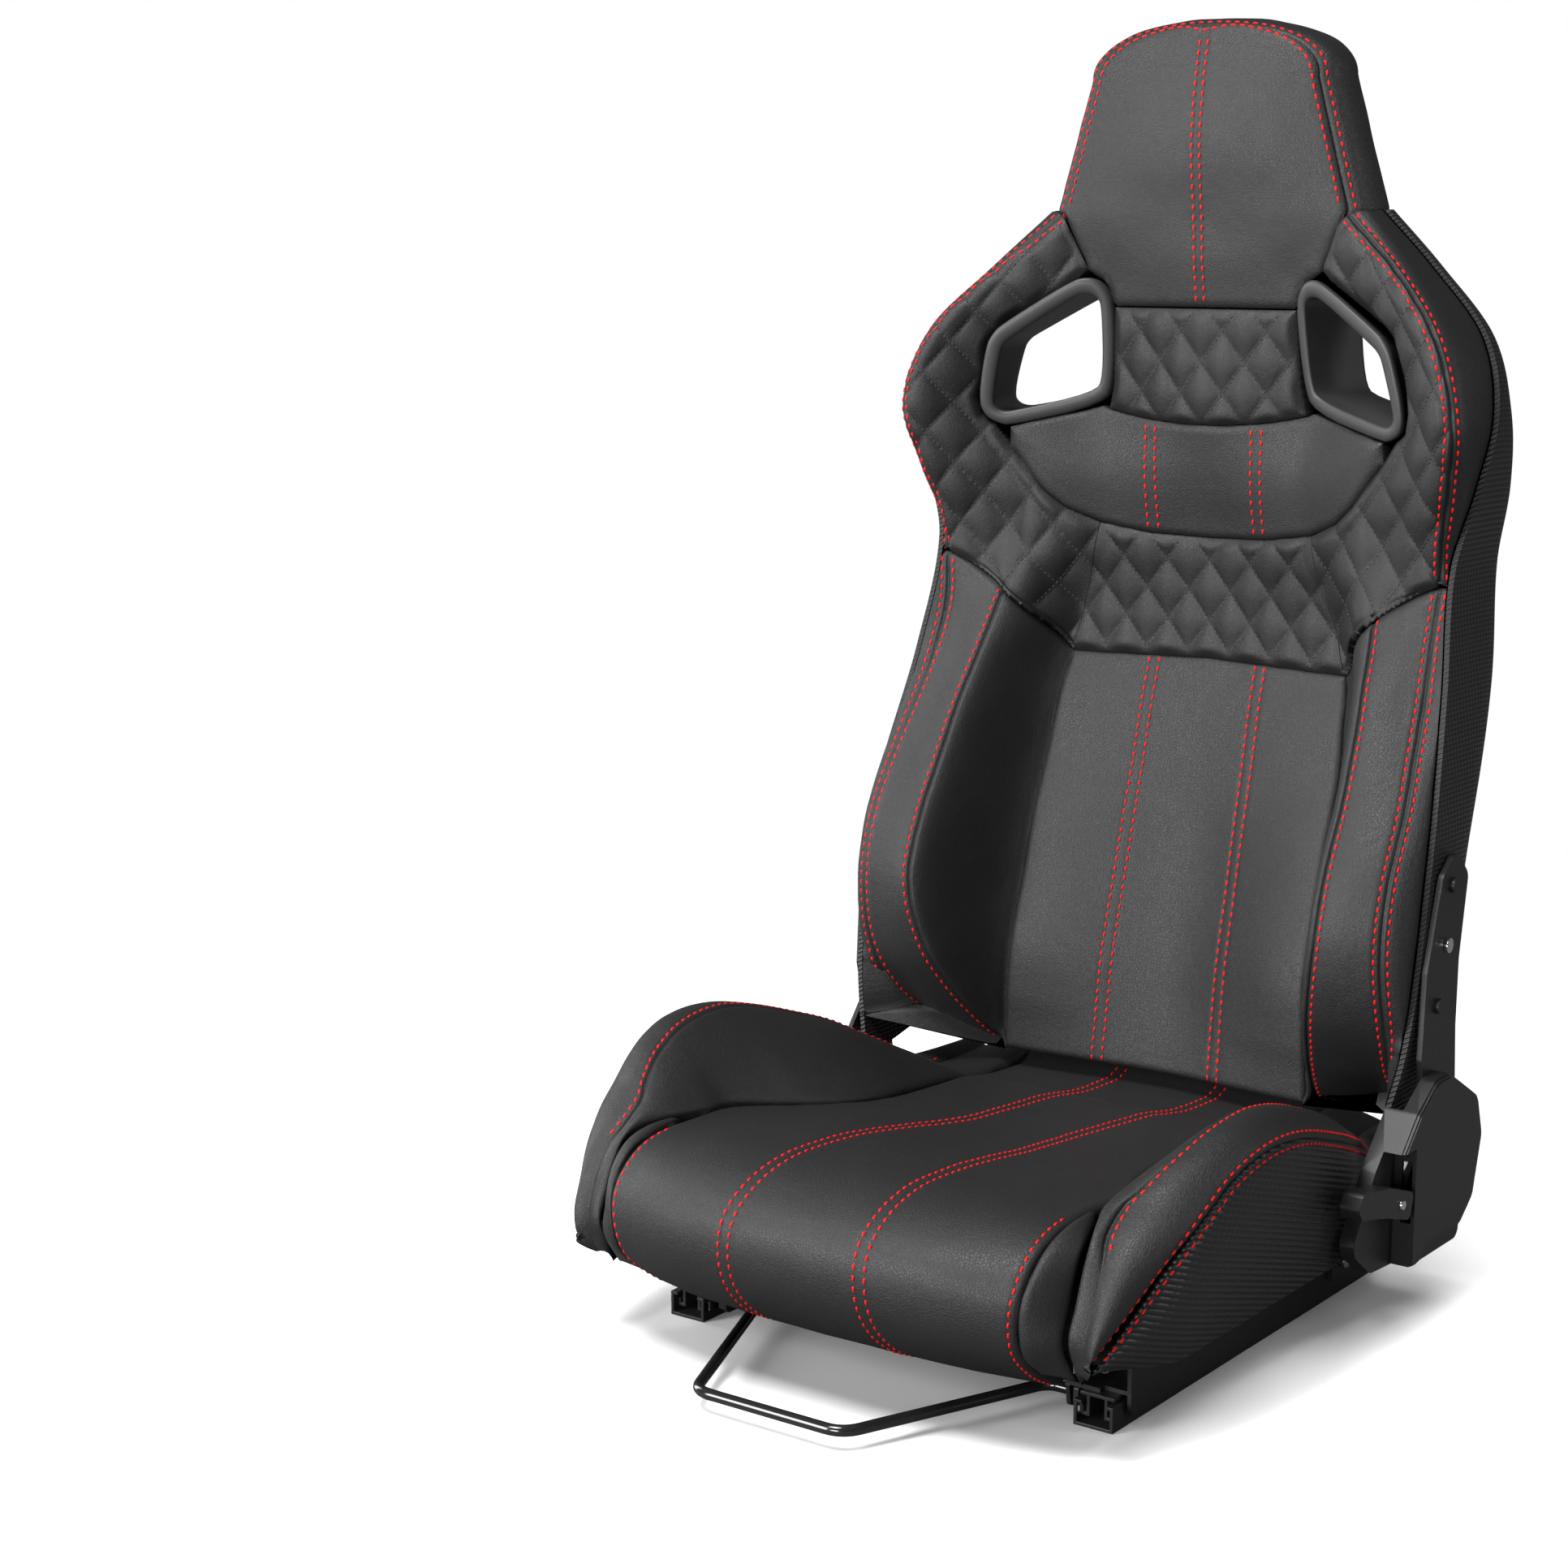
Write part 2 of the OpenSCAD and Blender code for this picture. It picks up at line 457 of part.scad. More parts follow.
// Place, then y and z in the middle, y and z at the sides, half width, and y and z of the underside
seat = [
    [0, -222, lip_z, -226, lip_z + 5, cushion_hw - 10, -208, lip_z + 8],
    [1, -262, 47, -256, 50, cushion_hw - 7, -214, 48],
    [2, -294, 74, -285, 74, cushion_hw - 4, -222, 60],
    [3, -306, 102, -294, 100, cushion_hw - 2, -225, cushion_base],
    [4, -301, 127, -289, 123, cushion_hw, -220, cushion_base],
    [5, -277, 143, -269, 143, cushion_hw, -212, cushion_base],
    [6, -243, 151, -240, 151.5, cushion_hw, -200, cushion_base],
    [7, -200, 151, -200, 151.5, cushion_hw, -180, cushion_base],
    [8, -155, 147, -155, 149, cushion_hw, -150, cushion_base],
    [9, -96, 138, -96, 141, cushion_hw - 25, -96, cushion_base],
    [10, -32, 129, -32, 132, cushion_hw - 41, -32, cushion_base],
    [11, 22, 125, 22, 127, cushion_hw - 43, 22, cushion_base],
    [12, 77, 121.5, 77, 123, cushion_hw - 41, 77, cushion_base],
    [13, 132, 118, 132, 118, cushion_hw - 37, 132, cushion_base],
    [14, 188, 115, 188, 114, cushion_hw - 35, 184, cushion_base]];
module cushion() {
    nv = 28;
    nu = 10;
    rows = [for (j = [0:nv]) let (s = 14 * j / nv, w = at(seat, 5, s) - fit)
        [for (u = across(nu)) let (c = 2 * u - 1, e = pow(abs(c), 2.4), d = u == 0 || u == 1 ? groove : 0)
            [c * w, mix(at(seat, 1, s), at(seat, 3, s), e) + (s < 6 ? d * 0.7 : 0),
                mix(at(seat, 2, s), at(seat, 4, s), e) - (s < 5 ? 0 : d)]]];
    pad(rows, [for (j = [0:nv]) let (s = 14 * j / nv, w = at(seat, 5, s) - fit)
        [for (k = [-1, 1]) [k * w, at(seat, 6, s), at(seat, 7, s)]]]);
}
// Infill between the cushion and the thigh bolster: place, inner edge, outer edge
infill = [
    [0, [162, -257, 52], [188, -258, 54]],
    [1, [165, -285, 74], [189, -273, 83]],
    [2, [167, -293, 100], [189, -266, 105]],
    [3, [169, -288, 124], [188.5, -255, 131]],
    [4, [169, -268, 143], [187, -244, 143]],
    [5, [169, -240, 151.5], [182, -228, 149]],
    [6, [169, -208, 151.5], [174, -208, 152]]];
function point(t, k, s) = let (i = span(t, s), c = (s - t[i][0]) / (t[i + 1][0] - t[i][0]))
    mix(t[i][k], t[i + 1][k], limit(c, 0, 1));
function wide(p) = [p.x + cushion_hw - 168 + 2 * fit, p.y, p.z];
module infill_pad() {
    nv = 12;
    rows = [for (j = [0:nv]) let (s = 6 * j / nv, a = wide(point(infill, 1, s)), b = wide(point(infill, 2, s)))
        [for (u = across(4, 0.15)) mix(a, b, u) + [0, -5, 3] * (u * (1 - u) * 2)
            + [0, u == 0 || u == 1 ? 1.5 : 0, 0]]];
    pad(rows, [for (r = rows) let (a = r[0], b = r[4])
        [[a.x + 0.5, min(a.y + 30, -205), max(a.z - 20, cushion_base - 10)],
            [a.x + 2.5, min(b.y + 25, -203), max(b.z - 20, cushion_base - 10)]]]);
}
// Thigh bolster: place, inner edge, crest, outer seam
thigh = [
    [0, [190, -258, 54], [199, -268, 62], [208, -272, 76]],
    [1, [190, -273, 83], [203, -273, 88], [216, -258, 91]],
    [2, [190, -266, 105], [204, -264, 112], [224, -243, 108]],
    [3, [189.5, -255, 131], [203, -252, 134], [234, -226, 130]],
    [4, [188.5, -244, 143], [198, -238, 149], [242, -208, 148]],
    [5, [183, -228, 149.5], [198, -219, 163], [247, -186, 165]],
    [6, [175, -208, 152], [204, -206, 173], [250, -168, 177]],
    [7, [169, -175, 150.5], [211, -183, 187], [253, -148, 185]],
    [8, [169, -150, 148.5], [216, -150, 199], [255, -125, 189]],
    [9, [156, -118, 143], [217.5, -112, 203.5], [256, -98, 188.5]],
    [10, [139, -80, 138], [217, -75, 200], [254, -65, 182]],
    [11, [128, -32, 132], [211, -32, 188], [249, -25, 170]],
    [12, [126, 22, 127], [202, 22, 169], [239, 25, 153]],
    [13, [128, 77, 122.5], [188, 77, 141], [224, 77, 134]],
    [14, [132, 132, 117.5], [181, 132, 117], [210, 132, 114]],
    [15, [134, 186, 112], [178, 184, 106], [198, 182, 103]]];
function thigh_point(k, s) = let (p = point(thigh, k, s), a = point(thigh, 1, s).x)
    [a + (p.x - a) * (1 + (bo - 224) / 105) + cushion_hw - 168 + fit, p.y,
        p.z + thigh_rise * (k == 1 ? 0 : sin(180 * s / 15))];
module thigh_pad() {
    nv = 30;
    nu = 8;
    rows = [for (j = [0:nv]) let (s = 15 * j / nv, f = ease((s - 3) / 4),
            a = thigh_point(1, s), c = thigh_point(2, s), e = thigh_point(3, s))
        concat([for (u = across(nu, 0.06)) let (t = u < 0.5 ? 2 * u : 2 * u - 1, b = 4 * t * (1 - t),
                d = u == 0 || u == 1 || j == 0 || j == nv ? groove * 0.6 : 0)
            (u < 0.5 ? mix(a, c, t) + [-2, -2, 3] * b : mix(c, e, t) + mix([5, -9, 3], [3, -3, 7], f) * b)
                + mix([0, d, 0], [0, 0, -d], f)],
            [e + [-4.5, 2, -1.5]])];
    pad(rows, [for (j = [0:nv]) let (s = 15 * j / nv, a = thigh_point(1, s), e = thigh_point(3, s),
            f = ease((s - 1) / 4))
        [[a.x, mix(2 * s - 236, max(a.y, -200), f), mix(62, cushion_base, f)],
            [min(e.x - 8, bo - 6), mix(e.y + 15, max(e.y, -200), f), mix(68, cushion_base, f)]]]);
}
// Ribbed side panel below the thigh bolster, from the seam down to its lower edge
valance_start = 0.3;
valance_end = 13.6;
module valance() {
    nv = 4;
    nu = 22;
    function low(s) = let (y = mix(-277, 96, pow(s / valance_end, 1.1)))
        [mix(206 + (bo - 224) * 0.15, bo + 2, ease(s / 4)), y, valance_z + 12 * (1 - ease(s / 4))];
    function face(s, t) = let (e = thigh_point(3, s) - [0, 0, 2.2])
        mix(low(s), e, t) + [6, -4, 0] * (t * (1 - t) * 4 * ease(1.5 - s / 8));
    function grid(d) = [for (j = [0:nv]) [for (i = [0:nu]) let (s = mix(valance_start, valance_end, i / nu))
        face(s, j / nv) - (s < 4 ? mix([0.3, -1, 0], [1, 0, 0], s / 4) : [1, 0, 0]) * d]];
    sheet(grid(0), grid(valance_t));
}

// ---- Rails ----
rail_x = bolt_dx / 2;
rail_wall = 2.5;
lip_w = 6;
upper_t = 2.5;
lower_h = rail_h - 4.5;
notch_pitch = 12;
notch_w = 6;
notch_count = 18;
first_notch_y = -201;
module lower_rail() {
    w = rail_w / 2;
    color("#6a6d70") difference() {
        translate([rail_x, 0, 0]) beam_y(-rail_len / 2, rail_len, [
            [-w, 0], [w, 0], [w, lower_h], [w - lip_w, lower_h], [w - lip_w, lower_h - rail_wall],
            [w - rail_wall, lower_h - rail_wall], [w - rail_wall, rail_wall],
            [rail_wall - w, rail_wall], [rail_wall - w, lower_h - rail_wall], [lip_w - w, lower_h - rail_wall],
            [lip_w - w, lower_h], [-w, lower_h]]);
        for (s = [-1, 1]) translate([rail_x, s * bolt_dy / 2, -1]) cylinder(h = rail_wall + 2, d = bolt_hole_d);
        for (i = [0:notch_count - 1]) translate([rail_x - w - 1, first_notch_y + i * notch_pitch, 7])
            cube([rail_wall + 2, notch_w, 7]);
    }
}
ball_d = lower_h - rail_wall - 12 - 2 * seat_gap;
module balls() {
    for (m = [-1, 1]) for (s = [-1, 1]) for (i = [-1.5:1:1.5])
        color("#c0c2c4") translate([m * rail_x + s * (rail_w / 2 - rail_wall - ball_d / 2 - seat_gap),
            i * 60, 12 + seat_gap + ball_d / 2]) sphere(d = ball_d);
}
bolt_y = [-150, 0, 150];
frame_bolt_d = 6;
foot_x = rail_w / 2 - rail_wall - run_gap;
module upper_rail() {
    top_w = rail_w / 2 - 2;
    n = rail_w / 2 - lip_w - 1;
    color("#8b8e91") difference() {
        translate([rail_x, 0, 0]) beam_y(-rail_len / 2 + 5, rail_len - 10, [
            [-top_w, rail_h - upper_t], [-n, rail_h - upper_t], [-n, 8.5], [2 - foot_x, 8.5],
            [2 - foot_x, 12], [-foot_x, 12], [-foot_x, 6], [upper_t - n, 6],
            [upper_t - n, rail_h - upper_t], [n - upper_t, rail_h - upper_t], [n - upper_t, 6], [foot_x, 6],
            [foot_x, 12], [foot_x - 2, 12], [foot_x - 2, 8.5], [n, 8.5], [n, rail_h - upper_t],
            [top_w, rail_h - upper_t], [top_w, rail_h], [-top_w, rail_h]]);
        for (y = bolt_y) translate([rail_x, y, rail_h - upper_t - 1])
            cylinder(h = upper_t + 2, d = frame_bolt_d + 0.4);
    }
}
// Side member: an upright plate with a flange that lies on the upper rail, and a lug for the slide handle
side_x = rail_x + rail_w / 2 + 2;
side_top = cushion_base - 4;
flange_z = rail_h + seat_gap;
lug_x = rail_x - rail_w / 2 - 12;
bail_y = -182;
bail_z = 14;
tube_z = side_top - seat_tube_d / 2;
bracket_bolt_z = 32;
bracket_bolt_y = [112, 168];
tube_y = [-150, 130];
module side_frame() {
    outline = rounded([[-188, 8], [178, 8], [178, 44], [150, side_top], [-165, side_top], [-188, 44]], 8);
    color("#3a3c3f") difference() {
        union() {
            plate_x(side_x, side_t, outline);
            beam_y(-188, 366, [[rail_x - 10, flange_z], [side_x + 1, flange_z], [side_x + 1, flange_z + side_t],
                [rail_x - 10, flange_z + side_t]]);
            beam_y(bail_y - 12, 24, [[lug_x, flange_z], [rail_x, flange_z], [rail_x, flange_z + side_t],
                [lug_x, flange_z + side_t]]);
            plate_x(lug_x, side_t, rounded([[bail_y - 12, flange_z + side_t], [bail_y + 12, flange_z + side_t],
                [bail_y + 9, bail_z - 8], [bail_y - 9, bail_z - 8]], 4));
        }
        bore_x(lug_x - 1, side_t + 2, bail_y, bail_z, bail_d + 0.6);
        for (y = bolt_y) translate([rail_x, y, flange_z - 1]) cylinder(h = side_t + 2, d = frame_bolt_d + 0.4);
        for (y = [-95, -40, 15, 70]) bore_x(side_x - 1, side_t + 2, y, 46, 24);
        for (y = bracket_bolt_y) bore_x(side_x - 1, side_t + 2, y, bracket_bolt_z, frame_bolt_d + 0.4);
    }
}
module seat_tube(y) {
    w = side_x - seat_gap;
    color("#2c2e30") difference() {
        bore_x(-w, 2 * w, y, tube_z, seat_tube_d);
        bore_x(-w - 1, 2 * w + 2, y, tube_z, seat_tube_d - 3);
    }
}
spring_x = [-88, 0, 88];
seat_spring_turns = 7;
module seat_spring_set() {
    for (x = spring_x) translate([x, tube_y[0], side_top + seat_gap + wire_d / 2])
        color("#55585b") zigzag(seat_spring_turns, (tube_y[1] - tube_y[0]) / seat_spring_turns, 34, wire_d);
}
module frame_bolts() {
    z = flange_z + side_t + seat_gap;
    for (m = [-1, 1]) {
        for (y = bolt_y) color("#9a9da0") translate([m * rail_x, y, 0]) {
            translate([0, 0, z]) cylinder(h = 4, d = 11);
            translate([0, 0, rail_h - upper_t - 5]) cylinder(h = z - rail_h + upper_t + 6, d = frame_bolt_d);
            translate([0, 0, rail_h - upper_t - seat_gap - 4.5]) cylinder(h = 4.5, d = 9);
        }
        for (y = bracket_bolt_y) color("#9a9da0") mirror([m < 0 ? 1 : 0, 0, 0]) {
            bore_x(side_x - seat_gap - 5, 5, y, bracket_bolt_z, 10);
            bore_x(side_x - seat_gap - 1, side_t + arm_t + 4, y, bracket_bolt_z, frame_bolt_d);
            bore_x(side_x + side_t + arm_t + 2 * seat_gap, 4, y, bracket_bolt_z, 11);
        }
    }
}

// ---- Recliner: layers from the inside out ----
arm_x = bo + 19.4;
bracket_x = arm_x + arm_t + 0.8;
spring_x0 = bracket_x + arm_t + 0.6;
cover_x = arm_x - 2.2;
cover_side = arm_x + 18.6;
sector_x = arm_x - 0.2 - arm_t;
arm_screw_yz = [[153, 269], [160, 312], [142, 226]];
screw_d = 6;
function about(y, z) = [pivot_y - 150 + y, pivot_z - 148 + z];
arm_outline = [[165, 337], [187, 316], [176, 255], [175, 205], [178, 165], [168, 128], [132, 128], [124, 165],
    [118, 190], [122, 254], [143, 321]];
module arm_plate() {
    difference() {
        plate_x(arm_x, arm_t, rounded([for (p = arm_outline) about(p.x, p.y)], 9));
        bore_x(arm_x - 1, arm_t + 2, pivot_y, pivot_z, pivot_d + 0.4);
        for (p = arm_screw_yz) bore_x(arm_x - 1, arm_t + 2, p.x, p.y, screw_d + 0.4);
    }
}
module recliner_arm() { color("#26282a") arm_plate(); }
module pivot_arm() { color("#26282a") mirror([1, 0, 0]) arm_plate(); }
// Bracket: upright plate, flange below the valance and a tab on the side member
lever_y = pivot_y - 52;
lever_z = pivot_z - 56;
lever_pin_d = 10;
module bracket(lever) {
    tab_x = side_x + side_t + seat_gap;
    y0 = bracket_bolt_y[0] - 16;
    y1 = bracket_bolt_y[1] + 16;
    difference() {
        union() {
            plate_x(bracket_x, arm_t, rounded([about(133, 160), about(148, 165), about(163, 160), [y1 - 8, 88],
                [y1, 70], [y1, 42], [y0, 42], [lever_y - 9, 74], [lever_y - 9, 106]], 8));
            beam_y(y0 + 12, y1 - y0 - 24, [[tab_x, 42], [bracket_x + 1, 42], [bracket_x + 1, 42 + arm_t],
                [tab_x, 42 + arm_t]]);
            beam_y(y0, y1 - y0, [[tab_x, 20], [tab_x + arm_t, 20], [tab_x + arm_t, 42 + arm_t],
                [tab_x, 42 + arm_t]]);
        }
        bore_x(bracket_x - 1, arm_t + 2, pivot_y, pivot_z, pivot_d + 0.4);
        if (lever) bore_x(bracket_x - 1, arm_t + 2, lever_y, lever_z, lever_pin_d + 0.6);
        for (y = bracket_bolt_y) bore_x(tab_x - 1, arm_t + 2, y, bracket_bolt_z, frame_bolt_d + 0.4);
    }
}
module recliner_bracket() { color("#2e3032") bracket(true); }
module pivot_bracket() { color("#2e3032") mirror([1, 0, 0]) bracket(false); }
module pivot_bolt() {
    end = spring_x0 + 6;
    bore_x(sector_x - 4.2, 4, pivot_y, pivot_z, pivot_d + 8);
    bore_x(sector_x - 1, end - sector_x, pivot_y, pivot_z, pivot_d);
}
module pivot_bolts() {
    color("#a5a8ab") pivot_bolt();
    color("#a5a8ab") mirror([1, 0, 0]) {
        pivot_bolt();
        bore_x(bracket_x + arm_t + seat_gap, 1.6, pivot_y, pivot_z, pivot_d + 14);
        bore_x(bracket_x + arm_t + 1.6, 5, pivot_y, pivot_z, pivot_d + 7);
    }
}
spring_turns = 2.75;
spring_t = 1.2;
module recliner_spring() {
    r0 = pivot_d / 2 + seat_gap;
    n = 66;
    function arm(i, d) = let (a = 360 * spring_turns * i / n, r = r0 + d + 4.2 * spring_turns * i / n)
        [pivot_y + r * cos(a), pivot_z + r * sin(a)];
    color("#6e7174")
        plate_x(spring_x0, 5, concat([for (i = [0:n]) arm(i, 0)], [for (i = [n:-1:0]) arm(i, spring_t)]));
}
module recliner_sector() {
    n = sector_teeth;
    tooth = 3;
    aim = atan2(lever_z - pivot_z, lever_y - pivot_y);
    sweep = 110;
    teeth = [for (i = [0:2 * n - 1]) let (a = aim - sweep / 2 + sweep * floor((i + 1) / 2) / n,
            r = i % 2 == 0 ? sector_r : sector_r - tooth)
        [pivot_y + r * cos(a), pivot_z + r * sin(a)]];
    rest = [for (a = [aim + sweep / 2 + 8:12:aim + 360 - sweep / 2 - 8])
        [pivot_y + 24 * cos(a), pivot_z + 24 * sin(a)]];
    color("#5d6063") difference() {
        plate_x(sector_x, arm_t, concat(teeth, rest));
        bore_x(sector_x - 1, arm_t + 2, pivot_y, pivot_z, pivot_d + 0.4);
    }
}
module arm_screw(y, z) {
    x0 = wing_x - 4 - seat_gap;
    bore_x(x0 + 1, arm_x + arm_t - x0, y, z, screw_d);
    bore_x(x0, 4, y, z, 10);
    bore_x(arm_x + arm_t + seat_gap, 3, y, z, 11);
}
module arm_screws() {
    for (m = [0, 1]) for (p = arm_screw_yz) color("#b4b7ba") mirror([m, 0, 0]) arm_screw(p.x, p.y);
}
cover_outline = [[140, 179], [190, 151], [200, 120], [187, 74], [165, 57], [109, 60], [95, 47], [50, 50], [18, 73],
    [53, 124], [89, 160], [118, 178]];
recess_y = 84;
recess_top = 136;
module recliner_cover() {
    web_x = cover_x - 7;
    centre = [125, 112];
    function shrink(d) = rounded([for (p = cover_outline)
        let (q = p - unit(p - centre) * d) about(q.x, q.y)], 12);
    slot_z = lever_z + 12;
    color("#2a2b2d") difference() {
        union() {
            plate_x(web_x, cover_side - web_x - 3, shrink(0));
            plate_x(cover_side - 3, 2, shrink(1.2));
            plate_x(cover_side - 1, 1, shrink(2.8));
        }
        // Hollow for the mechanism, open towards the seat
        intersection() {
            plate_x(web_x - 1, cover_side - web_x - cover_t, shrink(cover_t));
            translate([web_x - 1, recess_y + 3, 0]) cube([cover_side, 300, 400]);
        }
        plate_x(web_x - 1, arm_x + 4.1 - web_x - cover_t, shrink(cover_t));
        // Room for the back shell, for the arm as it swings, and for the foot of the bracket
        translate([web_x - 1, recess_y + 6, 40]) cube([cover_x - web_x + 1, 200, 200]);
        translate([web_x - 1, recess_y + 6, 112]) cube([arm_x + arm_t + 0.5 - web_x + 1, 200, 200]);
        translate([web_x - 1, recess_y + 3, 30]) cube([bracket_x + arm_t + 0.5 - web_x + 1, 110, 50]);
        // Recess for the grip, and the slot that the lever comes through
        translate([arm_x + 2.1, -50, 20]) cube([60, recess_y + 50, recess_top - 20]);
        translate([spring_x0 - 1.5, recess_y - 10, slot_z - 24]) cube([8, 30, 46]);
    }
}
// Lever: pin, arm and the steel core of the grip
lever_x = spring_x0 + 0.2;
grip_slope = 14;
grip_start = 22;
module along_lever() {
    translate([0, lever_y, lever_z]) rotate([-grip_slope, 0, 0]) translate([0, -grip_start, 0]) children();
}
module recliner_lever() {
    color("#45484b") {
        bore_x(sector_x, lever_x + 5 - sector_x, lever_y, lever_z, lever_pin_d);
        translate([lever_x, lever_y, lever_z]) rotate([-grip_slope, 0, 0]) translate([0, -60, -6])
            cube([4, 60, 12]);
        bore_x(lever_x - 0.1, 4.6, lever_y, lever_z, 18);
    }
}
module lever_grip() {
    w = 15;
    core = 5;
    outline = rounded([[2, -11], [2, 9], [-40, 12], [-grip_len + 4, 9], [-grip_len, -4], [-grip_len + 8, -10],
        [-40, -9]], 5);
    color("#303234") along_lever() difference() {
        translate([lever_x + 2 - w / 2, 0, 0]) rotate([90, 0, 90]) linear_extrude(w) polygon(outline);
        translate([lever_x + 2 - core / 2, grip_start - 60.5, -6.5]) cube([core, 80, 13]);
        translate([lever_x, -16, 0]) rotate([0, 90, 0]) cylinder(h = w, d = 4.4);
    }
}
module lever_screw() {
    color("#d5d8da") along_lever() translate([lever_x + 4 + seat_gap, -16, 0]) rotate([0, 90, 0]) {
        cylinder(h = 5.5, d = 4);
        translate([0, 0, 5.6]) cylinder(h = 1.6, d1 = 7.4, d2 = 6.4);
    }
}
module recliner_pawl() {
    reach = norm([pivot_y - lever_y, pivot_z - lever_z]) - sector_r - 0.7;
    a = atan2(pivot_z - lever_z, pivot_y - lever_y);
    color("#5d6063") translate([sector_x, lever_y, lever_z]) rotate([a, 0, 0]) rotate([90, 0, 90])
        difference() {
            linear_extrude(arm_t) polygon([[-8, -8], [8, -9], [reach - 8, -6], [reach, -3], [reach, 3],
                [reach - 8, 6], [8, 9], [-8, 8]]);
            translate([0, 0, -1]) cylinder(h = arm_t + 2, d = lever_pin_d + 2 * seat_gap);
        }
}

// ---- Frame of the back ----
leg_foot = foot_z + 50;
leg_bend = waist_z - 20;
function leg_y(z) = low_back(min(z, leg_bend)) + fit + hoop_d / 2;
hoop_path = let (y1 = leg_y(leg_foot), y2 = leg_y(leg_bend)) [[hoop_x, y1, leg_foot], [hoop_x, y2, leg_bend],
    [hoop_x, y2 + 1, 560], [72, 272, 626], [72, 267, head_z - 30], [70, 250, head_z + 82], [55, 249, head_z + 94]];
wing_x = bo + 2;
wing_t = 3;
wing_back = 40;
wing_lean = atan2(0.19, 1);
module wing() {
    l = 130;
    z0 = foot_z + 78;
    difference() {
        translate([0, leg_y(z0), z0]) rotate([-wing_lean, 0, 0]) linear_extrude(l)
            polygon([[hoop_x, 1.5], [wing_x + wing_t, 1.5 - wing_back], [wing_x + wing_t, -92], [wing_x, -92],
                [wing_x, -1 - wing_back], [hoop_x, -2]]);
        for (p = arm_screw_yz) bore_x(wing_x - 1, wing_t + 2, p.x, p.y, screw_d + 0.4);
    }
}
module back_hoop() {
    n = len(hoop_path);
    color("#2b2d2f") {
        for (m = [0, 1]) mirror([m, 0, 0]) {
            run(hoop_path, hoop_d);
            wing();
        }
        rod([-hoop_path[n - 1].x, hoop_path[n - 1].y, hoop_path[n - 1].z], hoop_path[n - 1], hoop_d);
    }
}
back_tube_d = 14;
back_tube_z = [foot_z + 105, waist_z - 74];
module back_cross_tubes() {
    w = hoop_x - hoop_d / 2 - seat_gap;
    for (z = back_tube_z) color("#2b2d2f") bore_x(-w, 2 * w, leg_y(z), z, back_tube_d);
}
module back_spring_set() {
    n = 9;
    w = hoop_x - hoop_d / 2 - seat_gap - wire_d * bend_swell / 2;
    for (z = [foot_z + 150, foot_z + 195, foot_z + 240]) color("#55585b")
        run([for (i = [0:n]) [w * (2 * i / n - 1), leg_y(z), z + (i % n == 0 ? 0 : i % 2 == 0 ? -8 : 8.5)]], wire_d);
}

// ---- Slide handle ----
bail_bend = 12;
module slide_bail() {
    // One half, from the hinge to the front bar, with each corner cut off
    half = [[rail_x - rail_w / 2 - 3, bail_y, bail_z], [lug_x - 14, bail_y, bail_z],
        [lug_x - 14 - bail_bend, bail_y - bail_bend, bail_z],
        [bail_hw + 6, bail_y - bail_reach + bail_bend + 10, bail_z],
        [bail_hw - bail_bend, bail_y - bail_reach, bail_z]];
    n = len(half) - 1;
    color("#141516") {
        for (m = [0, 1]) mirror([m, 0, 0]) run(half, bail_d);
        rod([-half[n].x, half[n].y, half[n].z], half[n], bail_d);
    }
}
latch_len = 42;
latch_teeth = 3;
module rail_latches() {
    x = lug_x + side_t + run_gap + 0.5;
    edge = rail_x - rail_w / 2 - run_gap;
    for (m = [0, 1]) mirror([m, 0, 0]) color("#7a7d80") {
        difference() {
            plate_x(x, 4, rounded([[bail_y - 8, bail_z - 7], [bail_y + latch_len, 8], [bail_y + latch_len, 14],
                [bail_y + 6, bail_z + 8], [bail_y - 8, bail_z + 6]], 2));
            bore_x(x - 1, 6, bail_y, bail_z, bail_d + 2 * seat_gap);
        }
        for (i = [0:latch_teeth - 1]) translate([x + 3.9, bail_y + latch_len - 5 - i * notch_pitch, 8.5])
            cube([edge - x - 3.9, 4, 5]);
    }
}

// ---- Nodes ----
module both(side) { mirror([side == "left" ? 1 : 0, 0, 0]) children(); }
leather = "#1d1d1f";
carbon = "#2c2d30";
both("left") lower_rail();  // lower_rail_left
lower_rail();  // lower_rail_right
balls();  // rail_balls
both("left") upper_rail();  // upper_rail_left
upper_rail();  // upper_rail_right
both("left") side_frame();  // side_frame_left
side_frame();  // side_frame_right
seat_tube(tube_y[0]);  // front_cross_tube
seat_tube(tube_y[1]);  // rear_cross_tube
seat_spring_set();  // seat_springs
frame_bolts();  // rail_bolts
color(leather) cushion();  // cushion_pad
both("left") color(leather) infill_pad();  // cushion_infill_left
color(leather) infill_pad();  // cushion_infill_right
both("left") color(leather) thigh_pad();  // thigh_bolster_left
color(leather) thigh_pad();  // thigh_bolster_right
both("left") color(carbon) valance();  // valance_left
color(carbon) valance();  // valance_right
recliner_bracket();
pivot_bracket();
recliner_cover();
recliner_spring();
pivot_bolts();
back_hoop();
back_cross_tubes();
back_spring_set();  // back_springs
recliner_arm();
pivot_arm();
arm_screws();
recliner_sector();
color(leather) back_panel();  // back_pad
both("left") color(leather) bolster();  // back_bolster_left
color(leather) bolster();  // back_bolster_right
color(leather) band();  // quilt_band
both("left") color(leather) yoke();  // yoke_left
color(leather) yoke();  // yoke_right
color(leather) crescent();  // crescent_pad
color(leather) neck();  // neck_pad
color(leather) head();  // head_pad
